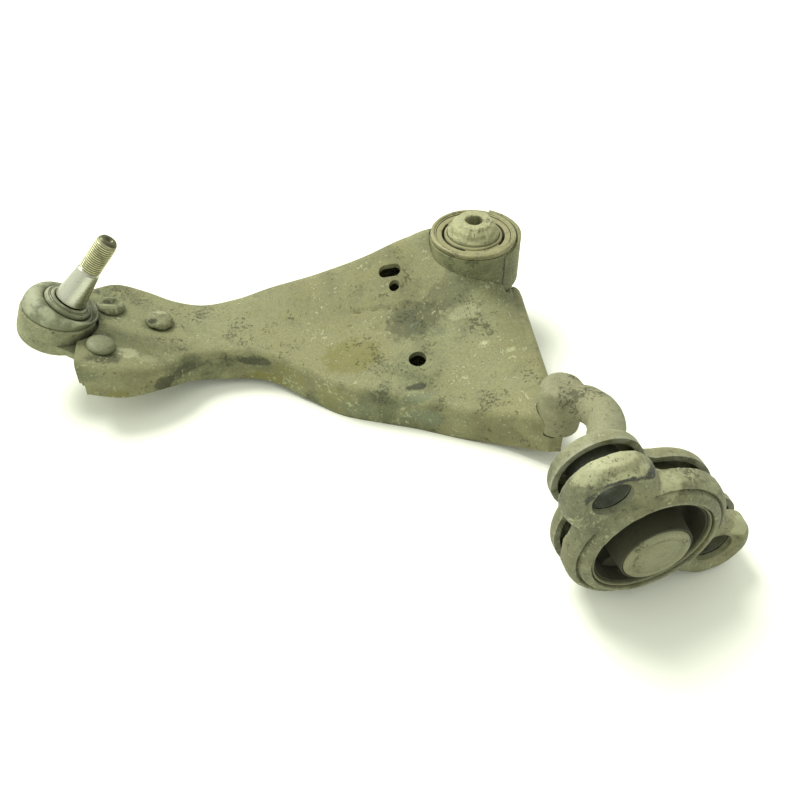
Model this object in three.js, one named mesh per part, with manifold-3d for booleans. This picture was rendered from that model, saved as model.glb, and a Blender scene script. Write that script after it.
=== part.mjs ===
// Front lower control arm of a van: a pressed steel box arm with a riveted ball joint at its
// outboard end, an upright rubber bush at its front inboard corner, and a forged spigot at its rear
// inboard corner that carries a large rubber bush in a two-eared bolt-on bracket.
// Units are millimetres. +Z is up, -X is outboard (towards the wheel), and -Y runs along the
// pivot line towards the rear bracket.

import * as THREE from 'three';
import { ConvexGeometry } from 'three/addons/geometries/ConvexGeometry.js';
import { mergeVertices } from 'three/addons/utils/BufferGeometryUtils.js';
import Module from 'manifold-3d';

const wasm = await Module();
wasm.setup();

// ---------------------------------------------------------------- driving dimensions

const ROUND = 24; // sides of a turned piece
const GAP = 0.3; // clearance between pieces that touch or are pressed together

// Pivot line: through the rear bush's closed face and the middle of the front bush.
const REAR_FACE = new THREE.Vector3(0, 0, 50);
const PIVOT_SLOPE = THREE.MathUtils.degToRad(2.7); // the line climbs this much towards the front
const FRONT_BUSH = { x: -1.5, y: 273.5, top: 79 }; // axis of the upright bush, top of its flange

// Pressed arm.
const SHEET = 3.5;
const EDGE_RADIUS = 8;
const SHELL_GAP = 0.9; // between the walls of the two shells
const TRAY_WALL = 8; // height of the lower shell's upturned wall

// Ball joint, on a plate that rises outboard.
const BALL_JOINT = { x: -288, y: 290, z: 62.5 }; // where the boot meets the housing
const BALL_JOINT_TILT = THREE.MathUtils.degToRad(23);
const BALL_DEPTH = 7.9; // ball centre below the boot seam
const STUD_LEAN = THREE.MathUtils.degToRad(17.3); // stud against the housing's axis, towards +X
const BALL_RADIUS = 12;
const HOUSING_RADIUS = 24.4;
const HOUSING_HEIGHT = 22.5;
const THREAD_RADIUS = 7; // M14
const TAPER_BASE_RADIUS = 10.4;
const STUD_TAPER_START = 19.5; // all three measured from the ball centre
const STUD_TAPER_END = 43.5;
const STUD_LENGTH = 71;

// Rivets, on the plate that slopes up to the ball joint.
const PLATE = { x: -250, y: 290, z: 42.6 };
const PLATE_TILT = THREE.MathUtils.degToRad(18.5);
const FLANGE_TOP = -4.7; // the housing's flange, measured down from the plate's surface
const FLANGE_PLATE = 4;
const RIVET_RADIUS = 9.5;
const RIVET_HEIGHT = 6;
const RIVET_SHANK = 5;
const RIVETS = [[-257, 307, 0], [-266, 262, 0], [-227, 293, 1.1]]; // x, y, and how far it stands up

// Rear bush, in its own frame: x right, y up, z out of the closed face.
const CORE_RADIUS = 18.6;
const CORE_LENGTH = 60;
const PIN_RADIUS = 11.5;
const CAN_RADIUS = 34.6;
const CAN_WALL = 1.6;
const COLLAR_WALL = 2.8;
const COLLAR_FRONT = -5;
const FRONT_SHELL = { front: -9, back: -21 };
const REAR_SHELL = { front: -28.5, back: -38 };
const BODY_RADIUS = 46;
const EAR_A = { x: -29.5, y: 45, radius: 25 };
const EAR_B = { x: 47, y: -27, radius: 23 };
const EDGE_ROUND = 5.5; // rounding of the two shells' outer edges
const EAR_HOLE_RADIUS = 11;
const WAIST_RADIUS = 14;

// Front bush.
const FLANGE_RADIUS = 30.4;
const FLANGE_THICKNESS = 3.5;
const EYE_RADIUS = 28.8; // inside of the arm's eye
const EYE_WALL = 2.2;
const EYE_BOTTOM = 24;
const SLEEVE_WALL = 2;
const HUB_RADIUS = 18.4;
const BOLT_HOLE_RADIUS = 6.1;

// ---------------------------------------------------------------- helpers

function solidOf(geometry) {
  const bare = geometry.clone();
  bare.deleteAttribute('normal');
  bare.deleteAttribute('uv');
  const merged = mergeVertices(bare, 1e-4);
  const mesh = new wasm.Mesh({
    numProp: 3,
    vertProperties: new Float32Array(merged.attributes.position.array),
    triVerts: new Uint32Array(merged.index.array),
  });
  return new wasm.Manifold(mesh);
}

function geometryOf(solid) {
  const mesh = solid.getMesh();
  const geometry = new THREE.BufferGeometry();
  geometry.setAttribute('position', new THREE.BufferAttribute(new Float32Array(mesh.vertProperties), 3));
  geometry.setIndex(new THREE.BufferAttribute(new Uint32Array(mesh.triVerts), 1));
  geometry.computeVertexNormals();
  return geometry;
}

function cut(geometry, ...tools) {
  return geometryOf(tools.reduce((solid, tool) => solid.subtract(solidOf(tool)), solidOf(geometry)));
}

function join(geometry, ...others) {
  return geometryOf(others.reduce((solid, other) => solid.add(solidOf(other)), solidOf(geometry)));
}

// Turned piece about Z from a closed list of [radius, z] corners, listed counter-clockwise.
function turned(profile, segments = ROUND) {
  const points = profile.map(([r, z]) => new THREE.Vector2(r, z));
  if (profile[0][0] > 0) points.push(points[0].clone());
  const geometry = new THREE.LatheGeometry(points, segments);
  geometry.rotateX(Math.PI / 2);
  return geometry;
}

function tube(inner, outer, bottom, top, segments = ROUND) {
  return turned([[outer, bottom], [outer, top], [inner, top], [inner, bottom]], segments);
}

function disc(radius, bottom, top, segments = ROUND) {
  return turned([[0, bottom], [radius, bottom], [radius, top], [0, top]], segments);
}

function placed(geometry, matrix) {
  const copy = geometry.clone();
  copy.applyMatrix4(matrix);
  return copy;
}

function prism(shape, bottom, top) {
  const geometry = new THREE.ExtrudeGeometry(shape, { depth: top - bottom, bevelEnabled: false });
  geometry.translate(0, 0, bottom);
  return geometry;
}

// Points along an arc, both ends included.
function arc(x, y, radius, start, end, steps) {
  return Array.from({ length: steps + 1 }, (_, i) => {
    const angle = start + ((end - start) * i) / steps;
    return new THREE.Vector2(x + radius * Math.cos(angle), y + radius * Math.sin(angle));
  });
}

// Closes a ring of equal closed profiles into one body.
function ringBody(profiles) {
  const count = profiles[0].length;
  const index = [];
  profiles.forEach((_, i) => {
    const here = i * count;
    const next = ((i + 1) % profiles.length) * count;
    for (let j = 0; j < count; j += 1) {
      const k = (j + 1) % count;
      index.push(here + j, next + j, next + k, here + j, next + k, here + k);
    }
  });
  const geometry = new THREE.BufferGeometry().setFromPoints(profiles.flat());
  geometry.setIndex(index);
  return geometry;
}

const MATERIALS = {
  paintedSteel: { color: 0x8d9069, roughness: 0.75, metalness: 0.1 },
  bracketSteel: { color: 0x7d8060, roughness: 0.7, metalness: 0.15 },
  forgedSteel: { color: 0xafb090, roughness: 0.7, metalness: 0.3 },
  machinedSteel: { color: 0xb9bb9e, roughness: 0.35, metalness: 0.8 },
  rubber: { color: 0x4a4b36, roughness: 0.85, metalness: 0 },
  plastic: { color: 0xd8d6c4, roughness: 0.5, metalness: 0 },
};

const controlArm = new THREE.Group();

function addPiece(parent, name, geometry, finish) {
  const mesh = new THREE.Mesh(geometry, new THREE.MeshStandardMaterial(MATERIALS[finish]));
  mesh.name = name;
  parent.add(mesh);
  return mesh;
}

// ---------------------------------------------------------------- pressed arm shells

// Sections of the arm from the ball-joint end to the inboard edge. Each gives the upper shell's
// back and front top corners and the level of the arm's underside at each of them.
const SECTIONS = [
  { back: [-270, 331, 49], front: [-283, 243, 54], under: [31, 28] },
  { back: [-251, 341, 43], front: [-257, 238, 45], under: [25, 22] },
  { back: [-232, 336, 36], front: [-229, 243, 36], under: [20, 19] },
  { back: [-213, 323, 32], front: [-211, 254, 32], under: [13, 11] },
  { back: [-194, 314, 31], front: [-190, 255, 30], under: [9, 6] },
  { back: [-169, 309, 35], front: [-163, 246, 30], under: [9, 5] },
  { back: [-146, 307, 41], front: [-139, 222, 29], under: [12, 2] },
  { back: [-112, 301, 50], front: [-119, 201, 28], under: [15, 0] },
  { back: [-78, 296, 61], front: [-97, 187, 28], under: [18, 0] },
  { back: [-46, 295, 72], front: [-75, 174, 27], under: [22, 0] },
  { back: [-22, 294, 76], front: [-52, 158, 26], under: [24, 0] },
  { back: [6, 276, 62], front: [-28, 141, 30], under: [24, 3] },
  { back: [25, 262, 37], front: [-5, 118, 41], under: [22, 12] },
];
const STATIONS = 19;
const CROWN = [0, 0.14, 0.34, 0.56, 0.8, 1];
const CORNER_STEPS = 3;
const END_ROWS = 3;

const curveThrough = (points) => new THREE.CatmullRomCurve3(points, false, 'centripetal');
const BACK_EDGE = curveThrough(SECTIONS.map((s) => new THREE.Vector3(...s.back)));
const FRONT_EDGE = curveThrough(SECTIONS.map((s) => new THREE.Vector3(...s.front)));
const UNDERSIDE = curveThrough(SECTIONS.map((s, i) => new THREE.Vector3(20 * i, ...s.under)));

// Where a section meets the bush's eye, the pan in front of the back ridge is hollowed.
function panSag(u, v) {
  const along = Math.exp(-(((u - 0.62) / 0.22) ** 2));
  return 5 * along * Math.sin(Math.PI * v) ** 2;
}

function section(u) {
  const back = BACK_EDGE.getPoint(u);
  const front = FRONT_EDGE.getPoint(u);
  const under = UNDERSIDE.getPoint(u);
  const across = new THREE.Vector3(front.x - back.x, front.y - back.y, 0).normalize();
  return { back, front, across, underBack: under.y, underFront: under.z };
}

// One closed row of the upper shell: up the back wall, over the top, down the front wall.
function roofRow(u, inset) {
  const { back, front, across, underBack, underFront } = section(u);
  const radius = EDGE_RADIUS - inset;
  const row = [];
  const from = back.clone().addScaledVector(across, inset);
  const to = front.clone().addScaledVector(across, -inset);
  row.push(new THREE.Vector3(from.x, from.y, underBack));
  for (let i = 0; i <= CORNER_STEPS; i += 1) {
    const angle = (i / CORNER_STEPS) * (Math.PI / 2);
    const point = from.clone().addScaledVector(across, radius * (1 - Math.cos(angle)));
    point.z = back.z - inset - radius * (1 - Math.sin(angle));
    row.push(point);
  }
  const width = from.distanceTo(to);
  for (const v of CROWN.slice(1, -1)) {
    const t = (radius + v * (Math.hypot(to.x - from.x, to.y - from.y) - 2 * radius)) / width;
    const point = from.clone().lerp(to, Math.min(t, 1));
    point.z = THREE.MathUtils.lerp(back.z, front.z, v) - inset - panSag(u, v);
    row.push(point);
  }
  for (let i = CORNER_STEPS; i >= 0; i -= 1) {
    const angle = (i / CORNER_STEPS) * (Math.PI / 2);
    const point = to.clone().addScaledVector(across, -radius * (1 - Math.cos(angle)));
    point.z = front.z - inset - radius * (1 - Math.sin(angle));
    row.push(point);
  }
  row.push(new THREE.Vector3(to.x, to.y, underFront));
  return row;
}

// One row of the lower shell: down its back wall, across the bottom, up its front wall.
function trayRow(u, inset) {
  const { back, front, across, underBack, underFront } = section(u);
  const offset = SHEET + SHELL_GAP + inset;
  const radius = EDGE_RADIUS - SHEET - inset * 0.5;
  const row = [];
  const from = back.clone().addScaledVector(across, offset);
  const to = front.clone().addScaledVector(across, -offset);
  row.push(new THREE.Vector3(from.x, from.y, underBack + TRAY_WALL));
  for (let i = 0; i <= CORNER_STEPS; i += 1) {
    const angle = (i / CORNER_STEPS) * (Math.PI / 2);
    const point = from.clone().addScaledVector(across, radius * (1 - Math.cos(angle)));
    point.z = underBack + inset + radius * (1 - Math.sin(angle));
    row.push(point);
  }
  for (const v of [0.25, 0.5, 0.75]) {
    const point = from.clone().lerp(to, v);
    point.z = THREE.MathUtils.lerp(underBack, underFront, v) + inset;
    row.push(point);
  }
  for (let i = CORNER_STEPS; i >= 0; i -= 1) {
    const angle = (i / CORNER_STEPS) * (Math.PI / 2);
    const point = to.clone().addScaledVector(across, -radius * (1 - Math.cos(angle)));
    point.z = underFront + inset + radius * (1 - Math.sin(angle));
    row.push(point);
  }
  row.push(new THREE.Vector3(to.x, to.y, underFront + TRAY_WALL));
  return row;
}

// Extra rows past the last section, which turn the sheet over the inboard edge.
// direction is -1 for the upper shell, whose wall goes down, and +1 for the lower one.
function endRows(lastRow, inset, direction, wallEnd) {
  const outward = new THREE.Vector3().subVectors(SECTION_END.front, SECTION_END.back).setZ(0).normalize();
  outward.set(-outward.y, outward.x, 0);
  const radius = Math.max(EDGE_RADIUS - inset, 1);
  const rows = [];
  for (let i = 1; i <= END_ROWS; i += 1) {
    const angle = (i / END_ROWS) * (Math.PI / 2);
    rows.push(lastRow.map((point) => {
      const moved = point.clone().addScaledVector(outward, radius * Math.sin(angle));
      const drop = radius * (1 - Math.cos(angle));
      const limit = wallEnd(point);
      moved.z = direction < 0 ? Math.max(point.z - drop, limit) : Math.min(point.z + drop, limit);
      return moved;
    }));
  }
  rows.push(rows[rows.length - 1].map((point) => new THREE.Vector3(point.x, point.y, wallEnd(point))));
  return rows;
}

const SECTION_END = section(1);

function underAt(point) {
  const { back, front, underBack, underFront } = SECTION_END;
  const span = new THREE.Vector2(front.x - back.x, front.y - back.y);
  const t = new THREE.Vector2(point.x - back.x, point.y - back.y).dot(span) / span.lengthSq();
  return THREE.MathUtils.lerp(underBack, underFront, THREE.MathUtils.clamp(t, 0, 1));
}

// Closes an outer and an inner grid of the same size into one sheet of metal.
function sheetBetween(outer, inner) {
  const rows = outer.length;
  const columns = outer[0].length;
  const points = [...outer.flat(), ...inner.flat()];
  const shift = rows * columns;
  const index = [];
  const quad = (a, b, c, d) => index.push(a, c, b, a, d, c);
  for (let i = 0; i < rows - 1; i += 1) {
    for (let j = 0; j < columns - 1; j += 1) {
      const a = i * columns + j;
      quad(a, a + columns, a + columns + 1, a + 1);
      quad(shift + a, shift + a + 1, shift + a + columns + 1, shift + a + columns);
    }
  }
  const rim = [];
  for (let j = 0; j < columns - 1; j += 1) rim.push([j, j + 1]);
  for (let i = 0; i < rows - 1; i += 1) rim.push([(i + 1) * columns - 1, (i + 2) * columns - 1]);
  for (let j = columns - 1; j > 0; j -= 1) {
    rim.push([(rows - 1) * columns + j, (rows - 1) * columns + j - 1]);
  }
  for (let i = rows - 1; i > 0; i -= 1) rim.push([i * columns, (i - 1) * columns]);
  for (const [a, b] of rim) quad(a, b, shift + b, shift + a);
  const geometry = new THREE.BufferGeometry().setFromPoints(points);
  geometry.setIndex(index);
  return geometry;
}

function stationRows(rowAt, inset) {
  return Array.from({ length: STATIONS }, (_, i) => rowAt(i / (STATIONS - 1), inset));
}

function withEnd(rows, inset, direction, wallEnd) {
  return [...rows, ...endRows(rows[rows.length - 1], inset, direction, wallEnd)];
}

function upperShell() {
  const outer = withEnd(stationRows(roofRow, 0), 0, -1, underAt);
  const inner = withEnd(stationRows(roofRow, SHEET), SHEET, -1, underAt);
  return sheetBetween(outer, inner);
}

function lowerShell() {
  const wallTop = (point) => underAt(point) + TRAY_WALL;
  const outer = withEnd(stationRows(trayRow, 0), SHEET + SHELL_GAP, 1, wallTop);
  const inner = withEnd(stationRows(trayRow, SHEET), 2 * SHEET + SHELL_GAP, 1, wallTop);
  return sheetBetween(inner, outer);
}

// ---------------------------------------------------------------- places of the sub-assemblies

const FRONT_BUSH_PLACE = new THREE.Matrix4().makeTranslation(FRONT_BUSH.x, FRONT_BUSH.y, FRONT_BUSH.top);

const BALL_PLACE = new THREE.Matrix4()
  .makeTranslation(BALL_JOINT.x, BALL_JOINT.y, BALL_JOINT.z)
  .multiply(new THREE.Matrix4().makeRotationY(BALL_JOINT_TILT));

const REAR_PLACE = new THREE.Matrix4()
  .makeTranslation(REAR_FACE.x, REAR_FACE.y, REAR_FACE.z)
  .multiply(new THREE.Matrix4().makeRotationX(Math.PI / 2 + PIVOT_SLOPE));

function groupAt(matrix) {
  const group = new THREE.Group();
  group.applyMatrix4(matrix);
  controlArm.add(group);
  return group;
}

const PLATE_PLACE = new THREE.Matrix4()
  .makeTranslation(PLATE.x, PLATE.y, PLATE.z)
  .multiply(new THREE.Matrix4().makeRotationY(PLATE_TILT));

const frontBush = groupAt(FRONT_BUSH_PLACE);
const ballJoint = groupAt(BALL_PLACE);
const rearBush = groupAt(REAR_PLACE);
const plate = groupAt(PLATE_PLACE);

// ---------------------------------------------------------------- front bush

const eyeOuter = EYE_RADIUS + EYE_WALL;
const eyeTop = -FLANGE_THICKNESS - GAP;
const eyeBottom = EYE_BOTTOM - FRONT_BUSH.top;

function eye() {
  return tube(EYE_RADIUS, eyeOuter, eyeBottom, eyeTop);
}

// The lower shell's lip wraps the inboard side of the eye, up to the flange.
function eyeWrap(clearance) {
  const inner = eyeOuter + GAP - clearance;
  const outer = eyeOuter + GAP + SHEET + clearance;
  const start = -0.36 * Math.PI - clearance / outer;
  const end = 0.27 * Math.PI + clearance / outer;
  const points = [...arc(0, 0, outer, start, end, 16), ...arc(0, 0, inner, end, start, 16)];
  return prism(new THREE.Shape(points), eyeBottom + 6 - clearance, -1 + clearance);
}

function flangedSleeve() {
  const outer = EYE_RADIUS - GAP;
  const inner = outer - SLEEVE_WALL;
  const under = -FLANGE_THICKNESS;
  return turned([
    [outer, eyeBottom + 2], [outer, under], [FLANGE_RADIUS, under], [FLANGE_RADIUS, -1],
    [FLANGE_RADIUS - 1, 0], [inner, 0], [inner, eyeBottom + 2],
  ]);
}

// Ring of rubber with a crescent void on either side of the hub.
function voidedRubber(inner, outer, bottom, top, voidInner, voidOuter, halfAngle) {
  const crescents = [0, Math.PI].map((middle) => prism(new THREE.Shape([
    ...arc(0, 0, voidOuter, middle - halfAngle, middle + halfAngle, 10),
    ...arc(0, 0, voidInner, middle + halfAngle, middle - halfAngle, 10),
  ]), bottom - 1, top + 1));
  return cut(tube(inner, outer, bottom, top), ...crescents);
}

const sleeveInner = EYE_RADIUS - GAP - SLEEVE_WALL;
const frontRubber = voidedRubber(HUB_RADIUS + GAP, sleeveInner - GAP, eyeBottom + 8, -3.5, 20.4, 23, 0.95);

const frontCore = turned([
  [BOLT_HOLE_RADIUS, eyeBottom - 4], [12.5, eyeBottom - 4], [HUB_RADIUS, eyeBottom + 6],
  [HUB_RADIUS, 1], [16.4, 5], [12.6, 9], [11.6, 10], [BOLT_HOLE_RADIUS, 10],
]);

addPiece(frontBush, 'front_bush_sleeve', flangedSleeve(), 'paintedSteel');
addPiece(frontBush, 'front_bush_rubber', frontRubber, 'rubber');
addPiece(frontBush, 'front_bush_core', frontCore, 'forgedSteel');

// ---------------------------------------------------------------- rear spigot

// Forged spigot: an upright round boss let into the arm, and a cranked pin on the pivot line.
const BOSS = { x: 4, y: 128.5, radius: 14, bottom: 24, top: 59 };
const onPivot = (behind) => new THREE.Vector3(0, 0, -behind).applyMatrix4(REAR_PLACE);
const SPIGOT_ROUTE = new THREE.CatmullRomCurve3([
  new THREE.Vector3(BOSS.x + 1, BOSS.y - 3, 46.5),
  new THREE.Vector3(16, 114, 50),
  new THREE.Vector3(17.5, 98, 53),
  new THREE.Vector3(9, 80, 55),
  onPivot(CORE_LENGTH + 3),
  onPivot(CORE_LENGTH - 6),
  onPivot(40),
  onPivot(10),
], false, 'centripetal');

function bossSolid(clearance) {
  const r = BOSS.radius + clearance;
  const geometry = turned([
    [0, BOSS.bottom - clearance], [r, BOSS.bottom - clearance], [r, BOSS.top - 5],
    [r - 1.6, BOSS.top - 1.6], [r - 5, BOSS.top], [0, BOSS.top],
  ]);
  geometry.translate(BOSS.x, BOSS.y, 0);
  return geometry;
}

function pinSolid(radius) {
  const shape = new THREE.Shape(arc(0, 0, radius, 0, 2 * Math.PI, 16).slice(0, -1));
  return new THREE.ExtrudeGeometry(shape, {
    extrudePath: SPIGOT_ROUTE, steps: 15, bevelEnabled: false,
  });
}

addPiece(controlArm, 'rear_spigot', join(bossSolid(0), pinSolid(PIN_RADIUS)), 'forgedSteel');

// ---------------------------------------------------------------- rear bush and bracket

const canInner = CAN_RADIUS - CAN_WALL;
const collarInner = CAN_RADIUS + GAP;
const collarOuter = collarInner + COLLAR_WALL;

const rearCore = turned([
  [PIN_RADIUS + 1.8, -CORE_LENGTH], [16, -CORE_LENGTH], [CORE_RADIUS, -CORE_LENGTH + 8],
  [CORE_RADIUS, -6.3], [0, -6.3], [0, -8.5], [PIN_RADIUS + GAP, -8.5],
  [PIN_RADIUS + GAP, -CORE_LENGTH + 10],
]);

const rearCap = turned([
  [0, -6], [CORE_RADIUS, -6], [CORE_RADIUS + 0.6, -4.5], [CORE_RADIUS + 0.6, -1.4],
  [CORE_RADIUS - 1, 0], [14.6, 0], [14.1, -0.9], [13.4, -0.9], [12.9, -0.3], [0, -0.3],
]);

const rearRubber = voidedRubber(CORE_RADIUS + GAP, canInner - GAP, -42, -16, 21.5, 30.5, 0.85);
const rearCan = tube(canInner, CAN_RADIUS, -45, COLLAR_FRONT - 1.5);

function waistBetween(first, second, side) {
  const dx = second.x - first.x;
  const dy = second.y - first.y;
  const distance = Math.hypot(dx, dy);
  const a = first.radius + WAIST_RADIUS;
  const b = second.radius + WAIST_RADIUS;
  const along = (a * a - b * b + distance * distance) / (2 * distance);
  const height = Math.sqrt(a * a - along * along) * side;
  return {
    x: first.x + (dx * along - dy * height) / distance,
    y: first.y + (dy * along + dx * height) / distance,
  };
}

const angleTo = (from, to) => Math.atan2(to.y - from.y, to.x - from.x);

// Outline of the bracket: a round body with two ears, blended by concave waists.
function bracketOutline(inset) {
  const body = { x: 0, y: 0, radius: BODY_RADIUS };
  const waist = WAIST_RADIUS + inset;
  const points = [];
  const run = (centre, radius, from, to, steps, turn) => {
    let end = to;
    while (turn * (end - from) < 0) end += turn * 2 * Math.PI;
    points.push(...arc(centre.x, centre.y, radius, from, end, steps).slice(0, -1));
  };
  for (const [ear, nextEar] of [[EAR_A, EAR_B], [EAR_B, EAR_A]]) {
    const before = waistBetween(body, ear, -1);
    const after = waistBetween(body, ear, 1);
    const next = waistBetween(body, nextEar, -1);
    run(before, waist, angleTo(before, body), angleTo(before, ear), 4, -1);
    run(ear, ear.radius - inset, angleTo(ear, before), angleTo(ear, after), 10, 1);
    run(after, waist, angleTo(after, ear), angleTo(after, body), 4, -1);
    run(body, BODY_RADIUS - inset, angleTo(body, after), angleTo(body, next), 12, 1);
  }
  return new THREE.Shape(points);
}

// Solid with the bracket's outline, rounded at the end that lies at level.
function roundedBlank(inset, level, towards, radius) {
  const blank = new THREE.ExtrudeGeometry(bracketOutline(inset), {
    depth: 60,
    bevelThickness: radius,
    bevelSize: radius,
    bevelOffset: -radius,
    bevelSegments: 2,
  });
  blank.translate(0, 0, towards > 0 ? level + radius : level - radius - 60);
  return blank;
}

// A pressed tray: a plate whose rounded edge turns into a wall reaching from faceZ to wallZ.
function pressedTray(faceZ, wallZ) {
  const towards = Math.sign(wallZ - faceZ);
  const outer = roundedBlank(0, faceZ, towards, EDGE_ROUND);
  const hollow = roundedBlank(SHEET, faceZ + towards * SHEET, towards, EDGE_ROUND - SHEET + 1);
  const beyond = new THREE.BoxGeometry(240, 240, 120).translate(0, 0, wallZ + towards * 60);
  return cut(outer, hollow, beyond);
}

// Cutters for the bush's bore and for the two bolt spacers.
const TRAY_BORES = [
  disc(collarInner, REAR_SHELL.back - 1, 1),
  ...[EAR_A, EAR_B].map((ear) => {
    const hole = disc(EAR_HOLE_RADIUS + SHEET + GAP, REAR_SHELL.back - 1, 1);
    hole.translate(ear.x, ear.y, 0);
    return hole;
  }),
];

const collar = turned([
  [collarInner, FRONT_SHELL.front - SHEET], [collarOuter + 2.5, FRONT_SHELL.front - SHEET],
  [collarOuter + 2.5, FRONT_SHELL.front - 0.5], [collarOuter, FRONT_SHELL.front + 1.5],
  [collarOuter, COLLAR_FRONT - 1], [collarOuter - 1, COLLAR_FRONT], [collarInner, COLLAR_FRONT],
]);

const frontShell = cut(join(pressedTray(FRONT_SHELL.front, FRONT_SHELL.back), collar), ...TRAY_BORES);
const rearShell = cut(pressedTray(REAR_SHELL.back, REAR_SHELL.front), ...TRAY_BORES);

addPiece(rearBush, 'rear_bush_core', rearCore, 'forgedSteel');
addPiece(rearBush, 'rear_bush_cap', rearCap, 'forgedSteel');
addPiece(rearBush, 'rear_bush_rubber', rearRubber, 'rubber');
addPiece(rearBush, 'rear_bush_can', rearCan, 'bracketSteel');
addPiece(rearBush, 'bracket_front_shell', frontShell, 'bracketSteel');
addPiece(rearBush, 'bracket_rear_shell', rearShell, 'bracketSteel');
for (const [name, ear] of [['bracket_spacer_1', EAR_A], ['bracket_spacer_2', EAR_B]]) {
  const spacer = tube(EAR_HOLE_RADIUS, EAR_HOLE_RADIUS + SHEET, REAR_SHELL.back, FRONT_SHELL.front - 1);
  addPiece(rearBush, name, spacer, 'machinedSteel').position.set(ear.x, ear.y, 0);
}

// ---------------------------------------------------------------- ball joint

const BALL_CENTRE = -BALL_DEPTH;
const housingInner = 19;
const NECK_RADIUS = 7.6;
const BOOT_SEAT_RADIUS = 9.4; // where the boot's lip grips the stud

const RIVET_SPOTS = RIVETS.map(([x, y, lift]) => [(x - PLATE.x) / Math.cos(PLATE_TILT), y - PLATE.y, lift]);

// Cutters for the rivets' shanks, in the plate's own frame.
const rivetHoles = RIVET_SPOTS.map(([x, y]) => disc(RIVET_SHANK + GAP, -20, 20, 16).translate(x, y, 0));

// The housing's flange lies under the plate and takes the three rivets.
function housingFlange() {
  const neck = [(BALL_JOINT.x - 4 - PLATE.x) / Math.cos(PLATE_TILT), 0, 20];
  const pads = [neck, ...RIVET_SPOTS.map(([x, y]) => [x, y, 12])];
  const rims = pads.flatMap(([x, y, radius]) => arc(x, y, radius, 0, 2 * Math.PI, 16).slice(0, -1));
  const corners = rims.flatMap(({ x, y }) => [
    new THREE.Vector3(x, y, FLANGE_TOP), new THREE.Vector3(x, y, FLANGE_TOP - FLANGE_PLATE),
  ]);
  const flange = cut(new ConvexGeometry(corners), ...rivetHoles);
  return placed(flange, BALL_PLACE.clone().invert().multiply(PLATE_PLACE));
}

const housingBody = turned([
  [housingInner, -HOUSING_HEIGHT], [HOUSING_RADIUS - 5, -HOUSING_HEIGHT],
  [HOUSING_RADIUS - 1.6, -HOUSING_HEIGHT + 1.8], [HOUSING_RADIUS - 0.3, -HOUSING_HEIGHT + 5],
  [HOUSING_RADIUS, -1.2], [HOUSING_RADIUS - 0.8, 0], [housingInner, 0],
]);

const seatBore = disc(housingInner, -HOUSING_HEIGHT - 1, 20);
const housing = join(housingBody, cut(housingFlange(), seatBore));

const cavity = BALL_RADIUS + GAP;
const ballSeat = turned([
  [0, -HOUSING_HEIGHT + 2], [housingInner - GAP, -HOUSING_HEIGHT + 2], [housingInner - GAP, -0.5],
  ...Array.from({ length: 8 }, (_, i) => {
    const angle = THREE.MathUtils.degToRad(11.5 - i * 13);
    return [cavity * Math.cos(angle), BALL_CENTRE + cavity * Math.sin(angle)];
  }),
  [0, BALL_CENTRE - cavity],
]);

const closingCap = turned([
  [0, -HOUSING_HEIGHT - 1.5], [housingInner - 3, -HOUSING_HEIGHT - 1.5],
  [housingInner - GAP, -HOUSING_HEIGHT], [housingInner - GAP, -HOUSING_HEIGHT + 1.6],
  [0, -HOUSING_HEIGHT + 1.6],
]);

const stud = turned([
  [0, -BALL_RADIUS],
  ...Array.from({ length: 9 }, (_, i) => {
    const angle = THREE.MathUtils.degToRad(-74 + i * 15.5);
    return [BALL_RADIUS * Math.cos(angle), BALL_RADIUS * Math.sin(angle)];
  }),
  [NECK_RADIUS, 11], [BOOT_SEAT_RADIUS, 13], [BOOT_SEAT_RADIUS, 19],
  [TAPER_BASE_RADIUS, STUD_TAPER_START], [THREAD_RADIUS + 0.5, STUD_TAPER_END],
  [THREAD_RADIUS, STUD_TAPER_END + 1], [THREAD_RADIUS, STUD_LENGTH - 4],
  [THREAD_RADIUS - 1.6, STUD_LENGTH], [3, STUD_LENGTH], [2.4, STUD_LENGTH - 2], [0, STUD_LENGTH - 2],
], 24);

const studPlace = new THREE.Matrix4()
  .makeTranslation(0, 0, BALL_CENTRE)
  .multiply(new THREE.Matrix4().makeRotationY(STUD_LEAN));

// Boot: each profile of the dome runs from the housing's rim up to the fold that turns with the stud.
const DOME_TOP = { radius: 16.3, level: 14.5 };

function domeProfile(angle) {
  const out = new THREE.Vector3(Math.cos(angle), Math.sin(angle), 0);
  const up = new THREE.Vector3(0, 0, 1);
  const foot = out.clone().multiplyScalar(HOUSING_RADIUS - 1.5).addScaledVector(up, GAP);
  const place = new THREE.Vector3().copy(out).multiplyScalar(DOME_TOP.radius).setZ(DOME_TOP.level);
  const top = place.applyMatrix4(studPlace);
  const outTop = out.clone().transformDirection(studPlace);
  const axis = up.clone().transformDirection(studPlace);
  const height = top.z - foot.z;
  const curve = new THREE.CubicBezierCurve3(
    foot,
    foot.clone().addScaledVector(out, 2).addScaledVector(up, 0.35 * height + 3),
    top.clone().addScaledVector(outTop, 6).addScaledVector(axis, 4),
    top,
  );
  const outer = curve.getPoints(6).map((point) => point.setZ(Math.max(point.z, GAP)));
  const inner = outer.map((point, i) => {
    const t = i / 6;
    const tangent = curve.getTangent(t);
    const side = new THREE.Vector3().crossVectors(tangent, new THREE.Vector3().crossVectors(up, out)).normalize();
    const moved = point.clone().addScaledVector(side, 2);
    return moved.setZ(Math.max(moved.z, GAP));
  });
  return [...outer, ...inner.reverse()];
}

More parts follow.
